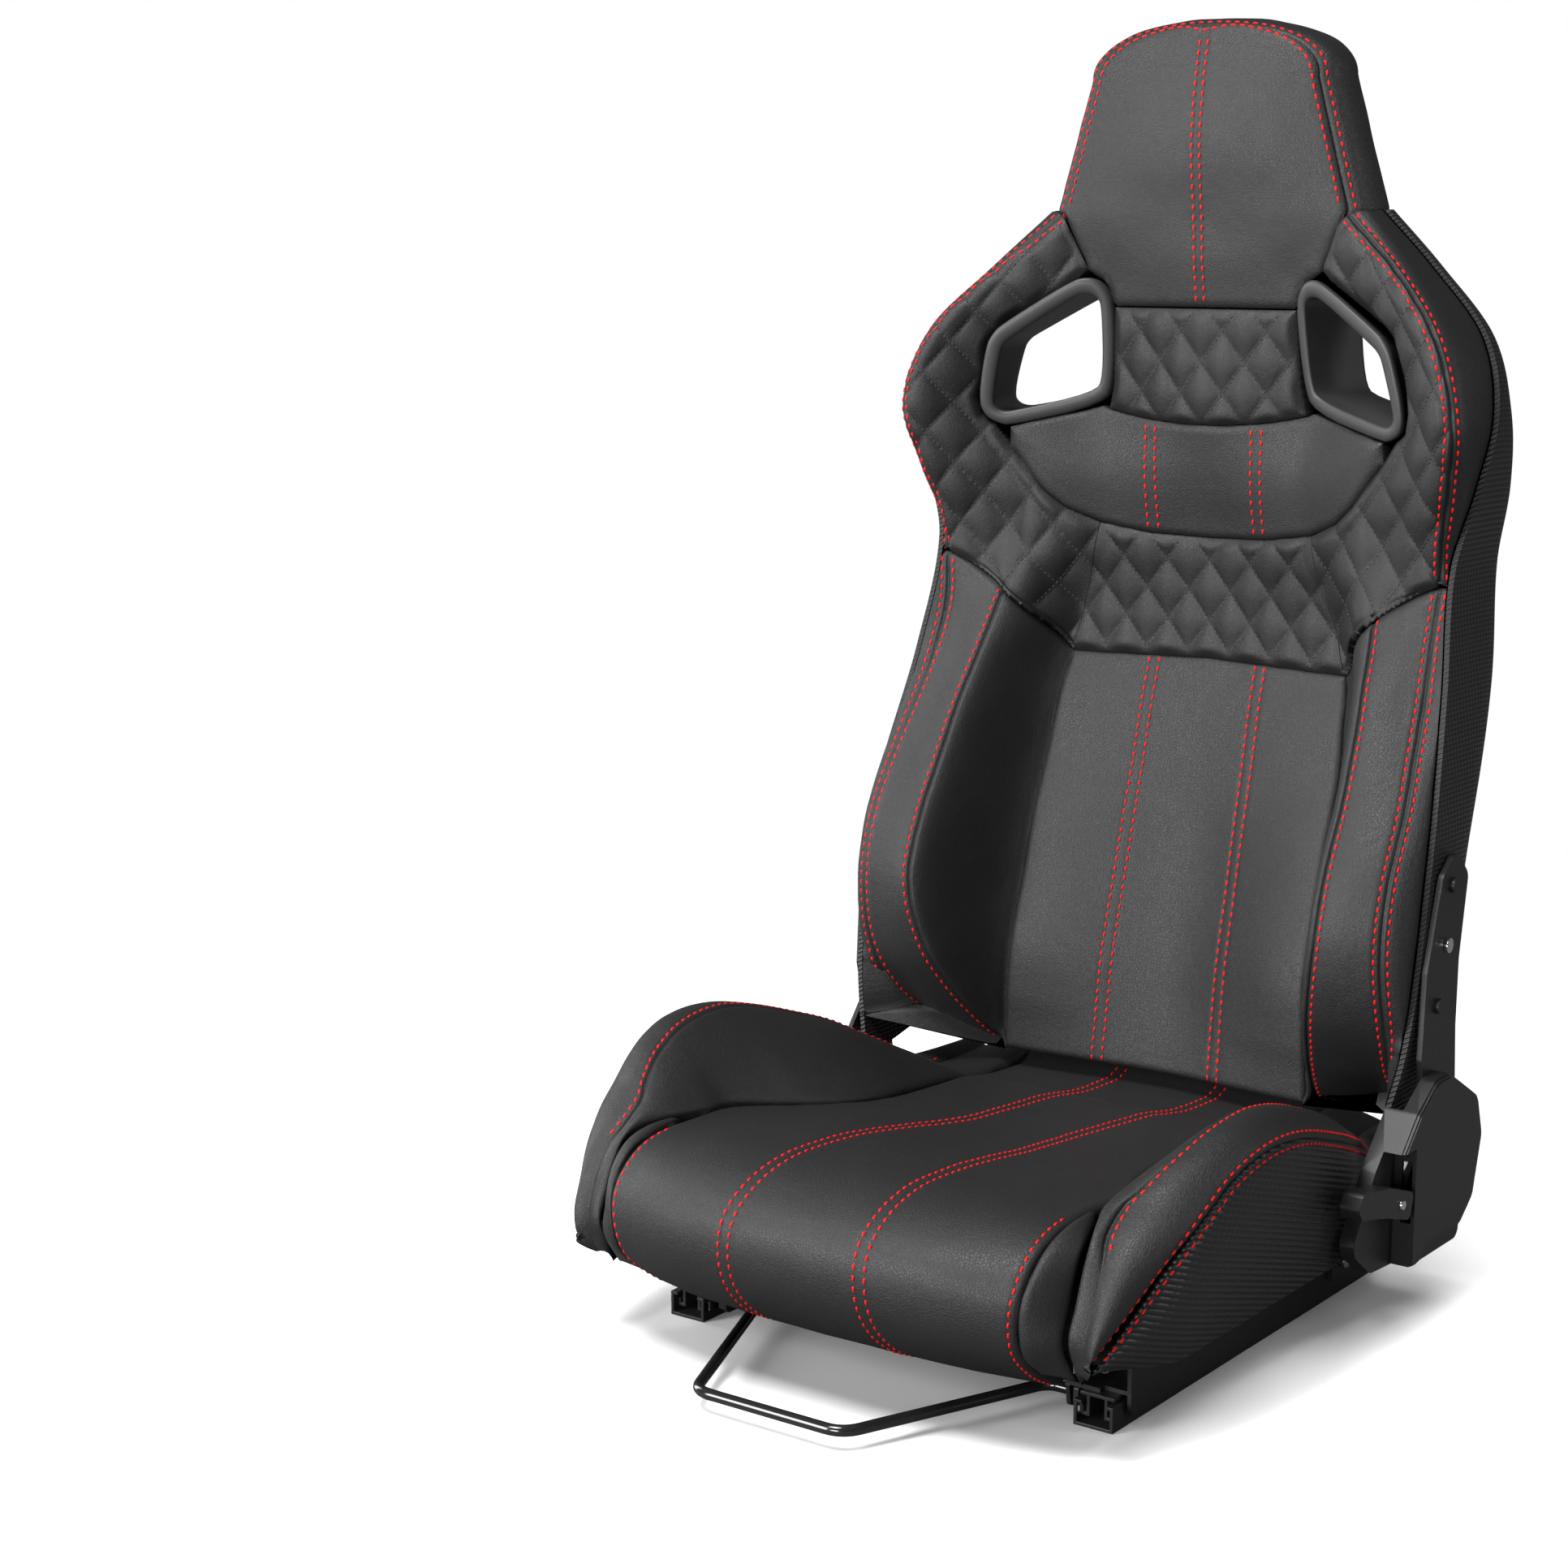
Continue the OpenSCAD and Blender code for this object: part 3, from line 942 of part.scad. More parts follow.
color(carbon) difference() {  // back_shell
    sheet(shell_grid(0), shell_grid(shell_t));
    for (m = [0, 1]) mirror([m, 0, 0]) {
        tunnel_cut();
        for (p = arm_screw_yz) bore_x(wing_x + wing_t, 20, p.x, p.y, screw_d + 0.6);
    }
}
color(leather) head_back();  // head_shell
both("left") color("#3b3c3e") bezel();  // harness_bezel_left
color("#3b3c3e") bezel();  // harness_bezel_right
recliner_lever();
lever_grip();
lever_screw();
recliner_pawl();
slide_bail();
rail_latches();
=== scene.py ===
import math

import bmesh
import bpy
import numpy as np
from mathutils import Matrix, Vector
from mathutils.bvhtree import BVHTree


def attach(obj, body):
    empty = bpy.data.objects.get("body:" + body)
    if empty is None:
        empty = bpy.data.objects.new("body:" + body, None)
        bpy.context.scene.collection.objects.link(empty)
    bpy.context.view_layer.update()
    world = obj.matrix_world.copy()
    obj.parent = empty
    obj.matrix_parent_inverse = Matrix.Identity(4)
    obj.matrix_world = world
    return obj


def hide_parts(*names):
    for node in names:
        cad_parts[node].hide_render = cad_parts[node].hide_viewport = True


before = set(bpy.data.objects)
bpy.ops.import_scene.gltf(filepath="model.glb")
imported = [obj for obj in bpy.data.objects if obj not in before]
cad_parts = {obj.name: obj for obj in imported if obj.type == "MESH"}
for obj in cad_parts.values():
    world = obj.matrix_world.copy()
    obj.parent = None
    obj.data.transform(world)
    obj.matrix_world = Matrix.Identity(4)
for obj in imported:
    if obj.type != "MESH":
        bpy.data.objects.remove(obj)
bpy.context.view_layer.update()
MM = 0.001

# ---- Numbers and curves, in millimetres, vectorised ----


def ease(t):
    c = np.clip(t, 0, 1)
    return c * c * (3 - 2 * c)


def mix(a, b, t):
    return a + (b - a) * t


def at(table, k, s):
    """Smooth curve through one column of a table of stations."""
    x, y = table[:, 0], table[:, k]
    n = len(x)
    lo, hi = np.maximum(np.arange(n) - 1, 0), np.minimum(np.arange(n) + 1, n - 1)
    slope = (y[hi] - y[lo]) / (x[hi] - x[lo])
    i = np.clip(np.searchsorted(x, s, side="right") - 1, 0, n - 2)
    h = x[i + 1] - x[i]
    c = np.clip((s - x[i]) / h, 0, 1)
    return (y[i] * (2 * c**3 - 3 * c**2 + 1) + slope[i] * h * (c**3 - 2 * c**2 + c)
            + y[i + 1] * (3 * c**2 - 2 * c**3) + slope[i + 1] * h * (c**3 - c**2))


def stack(*xyz):
    return np.stack(np.broadcast_arrays(*xyz), -1).astype(float)


# Height, then x and y of the panel edge, of the bolster crest and of the outer seam, and y of the middle
BACK = np.array([
    [125, 134, 163, 138, 178, 200, 178, 173], [150, 133, 163, 146, 148.5, 212, 157, 178],
    [174, 132, 161, 154, 125.2, 218, 130, 183], [216, 130, 163, 166, 96.6, 224, 102, 191],
    [270, 129, 179, 175, 85, 224, 92, 203], [320, 129, 194, 175, 99.5, 223, 103, 214],
    [365, 128, 212, 174, 125.1, 221, 129, 223], [412, 125, 225, 171, 150.4, 215, 158, 233],
    [443, 120, 236, 167, 167.8, 212, 176, 241], [491, 105, 238, 161, 193.4, 210, 192, 243],
    [540, 80, 230, 150, 207, 214, 189, 239], [590, 75, 224, 147, 204, 226, 171, 229],
    [640, 88, 226, 165, 198, 235, 154, 220], [700, 85, 220, 150, 200, 214, 165, 217],
    [745, 80, 216, 101, 214, 173, 189, 212], [790, 60, 209, 100, 210, 120, 209, 209]], float)
# Thickness of the shell and of the head's cover
WALL = 4
# Back shell: height, half width, y of its front edge and of its rear, squareness
SHELL = np.array([
    [122, 225, 95, 229, 4], [200, 240, 110, 242, 4], [328, 242, 135, 268, 4], [445, 230, 176, 303, 6],
    [533, 223, 197, 310, 7], [592, 238, 202, 303, 5], [645, 244, 214, 293, 3.2], [700, 228, 226, 290, 2.6],
    [750, 183, 234, 286, 2.5], [790, 142, 236, 283, 2.6]], float)


def skin(x, z):
    """Depth of the covers of the back, for x >= 0."""
    p, c, e = (at(BACK, k, z) for k in (1, 3, 5))
    ym, yp, yc, ye = (at(BACK, k, z) for k in (7, 2, 4, 6))
    outer = np.where(x < c, mix(yp, yc, ease((x - p) / (c - p))), mix(yc, ye, ease((x - c) / (e - c))))
    return np.where(x < p, mix(ym, yp, ease(x / p)), outer)


def low_back(z):
    return 193 + 0.19 * (z - 125)


# Y of the plain back of the upper pads
HIGH_BACK = 257

# ---- Grids of points ----
NEAR = np.array([0.0, 0.45, 1.0, 1.7, 2.6, 3.8, 5.2, 7.0])


def places(length, step, dense=()):
    """Places from 0 to length, closer together round the dense ones."""
    p = np.linspace(0, length, max(3, int(length / step) + 1))
    for d in dense:
        p = p[np.abs(p - d) > NEAR[-1] + 0.4 * step]
    for d in dense:
        p = np.concatenate([p, d + NEAR, d - NEAR])
    p = np.unique(np.clip(p, 0, length).round(3))
    keep = [0.0]
    for q in p[1:]:
        if q - keep[-1] > 0.4:
            keep.append(q)
    keep[-1] = length
    return np.array(keep)


def shares(length, step, *dense):
    """Places from 0 to 1, closer together at both ends and round the dense ones, which are lengths."""
    return places(length, step, (0, length, *dense)) / length


def runs(P, axis):
    """Length along the grid from its first row or column."""
    s = np.cumsum(np.linalg.norm(np.diff(P, axis=axis), axis=-1), axis=axis)
    return np.pad(s, [(1, 0) if a == axis else (0, 0) for a in range(2)])


def normals(P, out):
    n = np.cross(np.gradient(P, axis=1), np.gradient(P, axis=0))
    n /= np.maximum(np.linalg.norm(n, axis=-1, keepdims=True), 1e-9)
    return n if (n @ np.array(out, float)).mean() > 0 else -n


def fine(line, step=1.0):
    """The same line with points at most a step apart."""
    line = np.asarray(line, float)
    d = np.r_[0, np.cumsum(np.linalg.norm(np.diff(line, axis=0), axis=1))]
    s = np.linspace(0, d[-1], max(2, int(d[-1] / step) + 1))
    return np.stack([np.interp(s, d, line[:, k]) for k in range(3)], 1)


def gap(P, lines):
    """Distance of every point to the nearest of some lines."""
    q = np.concatenate([fine(l) for l in lines])
    flat = P.reshape(-1, 3)
    out = np.empty(len(flat))
    qq = (q**2).sum(1)
    for i in range(0, len(flat), 8000):
        f = flat[i:i + 8000]
        out[i:i + 8000] = ((f**2).sum(1)[:, None] + qq - 2 * f @ q.T).min(1)
    return np.sqrt(np.maximum(out, 0)).reshape(P.shape[:2])


def rolled(e, depth, width):
    c = np.clip(1 - e / width, 0, 1)
    return depth * (1 - np.sqrt(np.maximum(1 - c * c, 0)))


def furrow(d, depth, width):
    return depth * np.exp(-(d / width)**2)


WAVES = [(0.11, 0.05, 0.031, 1.0), (-0.043, 0.12, 0.07, 2.1), (0.06, -0.04, 0.14, 4.0),
         (0.19, 0.11, -0.13, 0.4), (-0.16, 0.2, 0.1, 5.2), (0.24, -0.1, 0.21, 3.3)]


def uneven(P, size):
    """Soft unevenness of a cover over foam, the same every time."""
    h = np.zeros(P.shape[:-1])
    for i, (a, b, c, p) in enumerate(WAVES):
        h += np.sin(P[..., 0] * a + P[..., 1] * b + P[..., 2] * c + p) / (1 + 0.5 * i)
    return size * h / 2.5


def sample(A, fu, fv):
    i = np.clip(fu.astype(int), 0, A.shape[1] - 2)
    j = np.clip(fv.astype(int), 0, A.shape[0] - 2)
    a, b = (fu - i)[:, None], (fv - j)[:, None]
    return (A[j, i] * (1 - a) * (1 - b) + A[j, i + 1] * a * (1 - b)
            + A[j + 1, i] * (1 - a) * b + A[j + 1, i + 1] * a * b)


# ---- Meshes ----
def mesh(name, verts, faces, solid=True):
    me = bpy.data.meshes.new(name)
    me.from_pydata((np.asarray(verts) * MM).tolist(), [], faces)
    if solid:
        bm = bmesh.new()
        bm.from_mesh(me)
        bmesh.ops.recalc_face_normals(bm, faces=bm.faces)
        bm.to_mesh(me)
        bm.free()
    me.polygons.foreach_set("use_smooth", [solid] * len(me.polygons))
    me.update()
    o = bpy.data.objects.new(name, me)
    bpy.context.scene.collection.objects.link(o)
    return o


def quads(a, b, c, d):
    return np.stack([x.ravel() for x in (a, b, c, d)], 1).tolist()


def closed(P, back):
    """Vertices and faces of a grid of points with a plain back between two points per row."""
    i = numbered(P)
    l = i.size + 2 * np.arange(len(i))
    r = l + 1
    faces = skin_faces(i)
    faces += quads(l[:-1], r[:-1], r[1:], l[1:])
    faces += quads(i[:-1, 0], l[:-1], l[1:], i[1:, 0])
    faces += quads(i[1:, -1], r[1:], r[:-1], i[:-1, -1])
    faces += [[*i[0].tolist(), int(r[0]), int(l[0])], [*i[-1, ::-1].tolist(), int(l[-1]), int(r[-1])]]
    return np.concatenate([P.reshape(-1, 3), np.asarray(back).reshape(-1, 3)]), faces


def skin_faces(i):
    """Faces of a grid of vertex numbers."""
    return quads(i[:-1, :-1], i[1:, :-1], i[1:, 1:], i[:-1, 1:])


def numbered(P):
    return np.arange(P.shape[0] * P.shape[1]).reshape(P.shape[:2])


def walled(P, Q):
    """Vertices and faces of a wall between two grids of points."""
    i = numbered(P)
    k = i + i.size
    faces = skin_faces(i) + quads(k[:-1, :-1], k[:-1, 1:], k[1:, 1:], k[1:, :-1])
    faces += quads(i[0, :-1], i[0, 1:], k[0, 1:], k[0, :-1])
    faces += quads(i[-1, :-1], k[-1, :-1], k[-1, 1:], i[-1, 1:])
    faces += quads(i[:-1, 0], k[:-1, 0], k[1:, 0], i[1:, 0])
    faces += quads(i[:-1, -1], i[1:, -1], k[1:, -1], k[:-1, -1])
    return np.concatenate([P.reshape(-1, 3), Q.reshape(-1, 3)]), faces


def sided(side, *grids):
    """Grids made for the right-hand side, on the side meant."""
    return [g * np.array([side, 1, 1]) for g in grids]


def widened(P, N, column):
    """One more column of points, with the last one's normals."""
    return np.concatenate([P, column[:, None]], 1), np.concatenate([N, N[:, -1:]], 1)


THREADS = {}
SIDES = 6
# Pitch, length and radius of the seams' stitches
PITCH, STITCH, THICK = 7.6, 4.7, 0.92


def dents(P, rows, depth=0.45, width=1.6):
    """How deep rows of stitches draw a cover in."""
    return sum(furrow(gap(P, [sample(P, fu, fv)]), depth, width) for fu, fv in rows)


def threads(key, P, N, rows):
    """Stitches along rows on a grid, kept for the piece called key."""
    for fu, fv in rows:
        stitches(key, sample(P, fu, fv), sample(N, fu, fv))


def stitches(key, X, n, pitch=PITCH, length=STITCH, radius=THICK, ends=2.0, sink=0.25):
    s = np.r_[0, np.cumsum(np.linalg.norm(np.diff(X, axis=0), axis=1))]
    usable = s[-1] - 2 * ends
    count = int((usable + pitch - length) / pitch)
    if count < 1:
        return
    first = ends + (usable - (count - 1) * pitch - length) / 2
    f = np.array([0, 0.16, 0.5, 0.84, 1])
    q = first + np.arange(count)[:, None] * pitch + f * length
    c = np.stack([np.interp(q, s, X[:, k]) for k in range(3)], -1)
    m = np.stack([np.interp(q, s, n[:, k]) for k in range(3)], -1)
    m /= np.maximum(np.linalg.norm(m, axis=-1, keepdims=True), 1e-9)
    t = c[:, -1] - c[:, 0]
    t /= np.maximum(np.linalg.norm(t, axis=-1, keepdims=True), 1e-9)
    b = np.cross(t[:, None], m)
    lift = np.array([-0.55, 0.35, 0.5, 0.35, -0.55]) * radius - sink
    fat = np.array([0.55, 0.95, 1.0, 0.95, 0.55]) * radius
    c = c + m * lift[:, None]
    a = np.linspace(0, 2 * math.pi, SIDES, endpoint=False)
    ring = (c[:, :, None] + m[:, :, None] * (np.cos(a) * 0.8)[:, None] * fat[:, None, None]
            + b[:, :, None] * np.sin(a)[:, None] * fat[:, None, None])
    THREADS.setdefault(key, []).append(ring)


def sew(key, name, body, mat):
    """Makes one piece of all stitches kept for a key."""
    rings = np.concatenate(THREADS[key])
    n, m = rings.shape[:2]
    i = np.arange(n * m * SIDES).reshape(n, m, SIDES)
    j = np.roll(i, -1, 2)
    faces = quads(i[:, :-1], i[:, 1:], j[:, 1:], j[:, :-1])
    faces += i[:, 0, ::-1].tolist() + i[:, -1].tolist()
    dress(mesh(name, rings.reshape(-1, 3), faces), body, mat)


def tube(points, radius, sides):
    """Vertices and faces of a round tube along a line of points."""
    p = np.asarray(points, float)
    t = np.gradient(p, axis=0)
    t /= np.linalg.norm(t, axis=1, keepdims=True)
    m = np.cross(t[0], [0.3, 0.2, 1.0])
    frames = []
    for k in range(len(p)):
        m = m - t[k] * (m @ t[k])
        m /= np.linalg.norm(m)
        frames.append((m, np.cross(t[k], m)))
    a = np.linspace(0, 2 * math.pi, sides, endpoint=False)
    rings = np.array([p[k] + radius * (np.cos(a)[:, None] * u + np.sin(a)[:, None] * w)
                      for k, (u, w) in enumerate(frames)])
    i = np.arange(len(p) * sides).reshape(len(p), sides)
    j = np.roll(i, -1, 1)
    faces = quads(i[:-1], i[1:], j[1:], j[:-1]) + [i[0, ::-1].tolist(), i[-1].tolist()]
    return rings.reshape(-1, 3), faces


def join(*parts):
    """Several (vertices, faces) as one."""
    verts, faces, base = [], [], 0
    for v, f in parts:
        verts.append(np.asarray(v))
        faces += [[k + base for k in face] for face in f]
        base += len(v)
    return np.concatenate(verts), faces


# ---- Materials ----
ROUGH_SPAN = 0.05
# Scale of a wave texture whose bands are 1 m apart
WAVE_SCALE = 0.314


def nodes_of(name, colour, rough, metal=0.0, spec=0.5, coat=0.0):
    m = bpy.data.materials.new(name)
    m.use_nodes = True
    nt = m.node_tree
    b = nt.nodes["Principled BSDF"]
    values = {"Base Color": (*colour, 1), "Roughness": rough, "Metallic": metal, "Specular IOR Level": spec,
              "Coat Weight": coat, "Coat Roughness": 0.15}
    for socket, value in values.items():
        b.inputs[socket].default_value = value
    return m, nt, b


def new(nt, kind, **values):
    n = nt.nodes.new("ShaderNode" + kind)
    for k, v in values.items():
        if k in n.inputs:
            n.inputs[k].default_value = v
        else:
            setattr(n, k, v)
    return n


def join_up(nt, *links):
    """Links, each as a node, its output, a node and its input."""
    for a, out, b, into in links:
        nt.links.new(a.outputs[out], b.inputs[into])


def raise_by(nt, b, height, out, strength, distance):
    """The bump of a material."""
    bp = new(nt, "Bump", Strength=strength, Distance=distance)
    join_up(nt, (height, out, bp, "Height"), (bp, "Normal", b, "Normal"))


def tone(nt, b, fac, out, colour, low, high):
    """The colour of a material between two shares of its own."""
    shade = new(nt, "MixRGB", Color1=(*[c * low for c in colour], 1),
                Color2=(*[min(1, c * high) for c in colour], 1))
    join_up(nt, (fac, out, shade, "Fac"), (shade, "Color", b, "Base Color"))


def grain(nt, b, colour, rough, cell, bump, dust=0.12):
    """Fine grain with pores, and a slow change of colour and roughness."""
    co = new(nt, "TexCoord")
    cells = new(nt, "TexVoronoi", Scale=cell, feature="DISTANCE_TO_EDGE")
    warp = new(nt, "TexNoise", Scale=cell * 0.55, Detail=3.0)
    add = new(nt, "MixRGB", blend_type="ADD", Fac=0.0035)
    fold = new(nt, "TexNoise", Scale=cell * 0.35, Detail=5.0, Roughness=0.6)
    slow = new(nt, "TexNoise", Scale=14.0, Detail=4.0)
    edge = new(nt, "MapRange", **{"From Max": 0.12})
    height = new(nt, "Math", operation="MULTIPLY_ADD")
    height.inputs[1].default_value = 0.45
    span = new(nt, "MapRange", **{"To Min": rough - ROUGH_SPAN, "To Max": rough + ROUGH_SPAN})
    join_up(nt, *[(co, "Object", n, "Vector") for n in (warp, fold, slow)], (co, "Object", add, "Color1"),
            (warp, "Color", add, "Color2"), (add, "Color", cells, "Vector"),
            (cells, "Distance", edge, "Value"), (edge, "Result", height, 0), (fold, "Fac", height, 2),
            (fold, "Fac", span, "Value"), (span, "Result", b, "Roughness"))
    raise_by(nt, b, height, "Value", bump, 0.0006)
    tone(nt, b, slow, "Fac", colour, 1 - dust, 1 + dust)


def leather(name, colour, rough, cell=480, bump=0.5):
    m, nt, b = nodes_of(name, colour, rough, spec=0.42)
    grain(nt, b, colour, rough, cell, bump)
    return m


def twill(name, colour, pitch, slant):
    """Embossed diagonal ribs."""
    m, nt, b = nodes_of(name, colour, 0.42, spec=0.4)
    co = new(nt, "TexCoord")
    turn = new(nt, "Mapping", Rotation=slant)
    ribs = new(nt, "TexWave", Scale=WAVE_SCALE / pitch, bands_direction="Z")
    cross = new(nt, "TexWave", Scale=WAVE_SCALE / (pitch * 1.7), bands_direction="Y")
    both = new(nt, "Math", operation="MULTIPLY_ADD")
    both.inputs[1].default_value = 0.3
    join_up(nt, (co, "Object", turn, "Vector"), (turn, "Vector", ribs, "Vector"),
            (turn, "Vector", cross, "Vector"), (cross, "Fac", both, 0), (ribs, "Fac", both, 2))
    raise_by(nt, b, both, "Value", 0.8, 0.0008)
    tone(nt, b, ribs, "Fac", colour, 0.45, 1.5)
    return m


def plain(name, colour, rough, cell, bump, metal=0.0, spec=0.5, coat=0.0, dust=0.12):
    m, nt, b = nodes_of(name, colour, rough, metal, spec, coat)
    grain(nt, b, colour, rough, cell, bump, dust)
    return m


def thread(name, colour):
    """Twisted thread: fine slanted ply."""
    m, nt, b = nodes_of(name, colour, 0.55, spec=0.2)
    co = new(nt, "TexCoord")
    ply = new(nt, "TexWave", Scale=350, Distortion=1.0, bands_direction="DIAGONAL")
    join_up(nt, (co, "Object", ply, "Vector"))
    raise_by(nt, b, ply, "Fac", 0.5, 0.0003)
    tone(nt, b, ply, "Fac", colour, 0.75, 1.2)
    return m


BLACK = (0.0145, 0.0145, 0.015)
LEATHER = leather("grained_leather", BLACK, 0.49)
QUILTED = leather("quilted_leather", (0.0115, 0.0115, 0.012), 0.5, cell=520, bump=0.4)
RED = thread("red_thread", (0.72, 0.008, 0.008))
GREY = thread("grey_thread", (0.045, 0.045, 0.046))
CARBON = twill("carbon_vinyl", (0.016, 0.016, 0.017), 0.0032, (0.0, math.radians(28), 0.0))
RIBBED = twill("ribbed_vinyl", (0.013, 0.013, 0.014), 0.0042, (math.radians(18), 0.0, 0.0))
BEZEL = plain("bezel_plastic", (0.042, 0.042, 0.043), 0.42, 1500, 0.12, spec=0.45)
COVER = plain("cover_plastic", (0.012, 0.012, 0.0125), 0.38, 1300, 0.1, spec=0.5)
STEEL = plain("painted_steel", (0.011, 0.011, 0.0115), 0.42, 420, 0.12, spec=0.5)
ZINC = plain("zinc_steel", (0.5, 0.51, 0.53), 0.33, 600, 0.05, metal=1.0)
RAIL = plain("rail_steel", (0.03, 0.03, 0.032), 0.34, 700, 0.1, metal=0.35)
SPRING = plain("spring_steel", (0.2, 0.2, 0.21), 0.38, 700, 0.08, metal=1.0)
CHROME = plain("bright_screw", (0.78, 0.79, 0.8), 0.14, 900, 0.02, metal=1.0, dust=0.04)
GLOSS = plain("gloss_wire", (0.012, 0.012, 0.013), 0.14, 260, 0.02, spec=0.6, coat=0.6)


def dress(o, body, mat, slot=None, replaces=(), fill=None):
    """Material, body and the CAD nodes that a piece stands for; the slot is not used."""
    o.data.materials.clear()
    o.data.materials.append(mat)
    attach(o, body)
    if replaces:
        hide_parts(*replaces)


# ---- Pads ----
# How the name of a piece ends on the left, in the middle and on the right
WORD = {-1: "_left", 0: "", 1: "_right"}
FRONT = (0, -1, 0.35)
# Step of a smooth pad's grid and of a quilted one's
STEP, QUILT_STEP = 4.5, 1.9
# Between the two rows of a double seam, and from a crest, a seam and the head's edge to the rows beside it
ROW_GAP, CREST_ROW, SEAM_ROW, HEAD_ROW = 8.6, 4.6, 5.2, 4.8
# The lowest point of the rear face of the back's pads
FOOT = 148
# Body, material and slot of the covers
BACK_PLAIN = "backrest", LEATHER, "black_leather"
BACK_QUILTED = "backrest", QUILTED, "quilted_leather"
SEAT_PLAIN = "seat_base", LEATHER, "black_leather"


def pad(name, P, left, right, cover, node, fill, side=0):
    """A soft piece with its front on a grid and a plain back between a left and a right edge."""
    dress(mesh(name + WORD[side], *closed(P, np.stack([left, right], 1))), *cover, (node + WORD[side],), fill)


def grid_of(shape, us, vs, out):
    """Points of a shape on a grid, and their normals to the side named by out."""
    P = shape(*np.meshgrid(us, vs))
    return P, normals(P, out)


def from_edges(P, right=True, ends=True):
    """Distance of every point of a grid to its edges."""
    return gap(P, [P[:, 0]] + [P[:, -1]] * right + [P[0], P[-1]] * ends)


def behind(P):
    """The edges of a pad's plain back, straight behind the front's."""
    return [stack(e[:, 0], HIGH_BACK, e[:, 2]) for e in (P[:, 0], P[:, -1])]


def along(u, us):
    """Float places on the grid, in every row, at u."""
    return np.interp(u, us, np.arange(len(us))), np.arange(len(u), dtype=float)


def row_line(P, column, offset):
    """Float places on the grid, in every row, at a distance along the row from a column."""
    s = runs(P, 1)
    n = np.arange(P.shape[1])
    fu = np.array([np.interp(np.interp(column, n, r) + offset, r, n) for r in s])
    return fu, np.arange(P.shape[0], dtype=float)


def column_line(P, row, offset):
    s = runs(P, 0)
    n = np.arange(P.shape[0])
    fv = np.array([np.interp(np.interp(row, n, c) + offset, c, n) for c in s.T])
    return np.arange(P.shape[1], dtype=float), fv


def soften(P, column, reach):
    """Rounds the rows of a grid where they turn at a column."""
    out = P.copy()
    s = runs(P, 1)
    r = np.broadcast_to(reach, P.shape[0])
    for j in range(P.shape[0]):
        c = s[j, column]
        a = max(c - r[j], 0)
        b = min(c + r[j], s[j, -1])
        A, B = (np.array([np.interp(q, s[j], P[j, :, k]) for k in range(3)]) for q in (a, b))
        S = P[j, column]
        m = (s[j] > a) & (s[j] < b)
        t = ((s[j][m] - a) / max(b - a, 1e-6))[:, None]
        out[j, m] = (1 - t)**2 * A + 2 * t * (1 - t) * S + t**2 * B
    return out


def smooth(X, reach):
    """Running mean along a line of points or numbers."""
    ends = [(reach, reach)] + [(0, 0)] * (X.ndim - 1)
    long = np.pad(X, ends, mode="edge")
    return np.mean([long[i:i + len(X)] for i in range(2 * reach + 1)], 0)


def pick(us, value):
    return int(np.argmin(np.abs(us - value)))


# Centre panel of the back
def back_panel():
    x, z = shares(262, STEP, 80, 88, 174, 182), shares(330, 5)

    def shape(u, v):
        c = 2 * u - 1
        h = mix(127, 446 - 3 * np.abs(c), v)
        px = c * at(BACK, 1, h)
        return stack(px * 0.998, skin(np.abs(px), h), h)
    P, N = grid_of(shape, x, z, FRONT)
    rows = [along((side * (mix(55.8, 50.8, z) - inner) / at(BACK, 1, P[:, 0, 2]) + 1) / 2, x)
            for side in (-1, 1) for inner in (0, ROW_GAP)]
    h = -rolled(from_edges(P), 3.6, 5.5) + uneven(P, 0.2) - dents(P, rows, 0.4)
    P = P + N * h[..., None]
    threads("back", P, N, rows)
    low = np.maximum(P[:, 0, 2], FOOT)
    b = [stack(P[:, k, 0], low_back(low), low) for k in (0, -1)]
    pad("back_centre_panel", P, *b, BACK_PLAIN, "back_pad", 0.7)


BOLSTER_FOOT = np.array([[0, 125], [0.35, 128], [0.8, 139], [1, 153]], float)
BOLSTER_HEAD = np.array([[0, 443], [0.25, 471], [0.5, 493], [0.75, 508], [1, 521]], float)


def bolster_x(u, z):
    p, c, e = (at(BACK, k, z) for k in (1, 3, 5))
    return np.where(u < 0.5, mix(p, c, 2 * u), mix(c, e, 2 * u - 1))


def side_strip(e, z, t):
    """From the outer seam round the side to the rim of the shell."""
    rim = stack(at(SHELL, 1, z) - 5, at(SHELL, 2, z) - 0.5, z)
    turn = stack(np.maximum(rim[..., 0], e[..., 0]) + 3, mix(e[..., 1], rim[..., 1], 0.3), z)
    t = t[..., None]
    return (1 - t)**2 * e + 2 * t * (1 - t) * turn + t**2 * rim


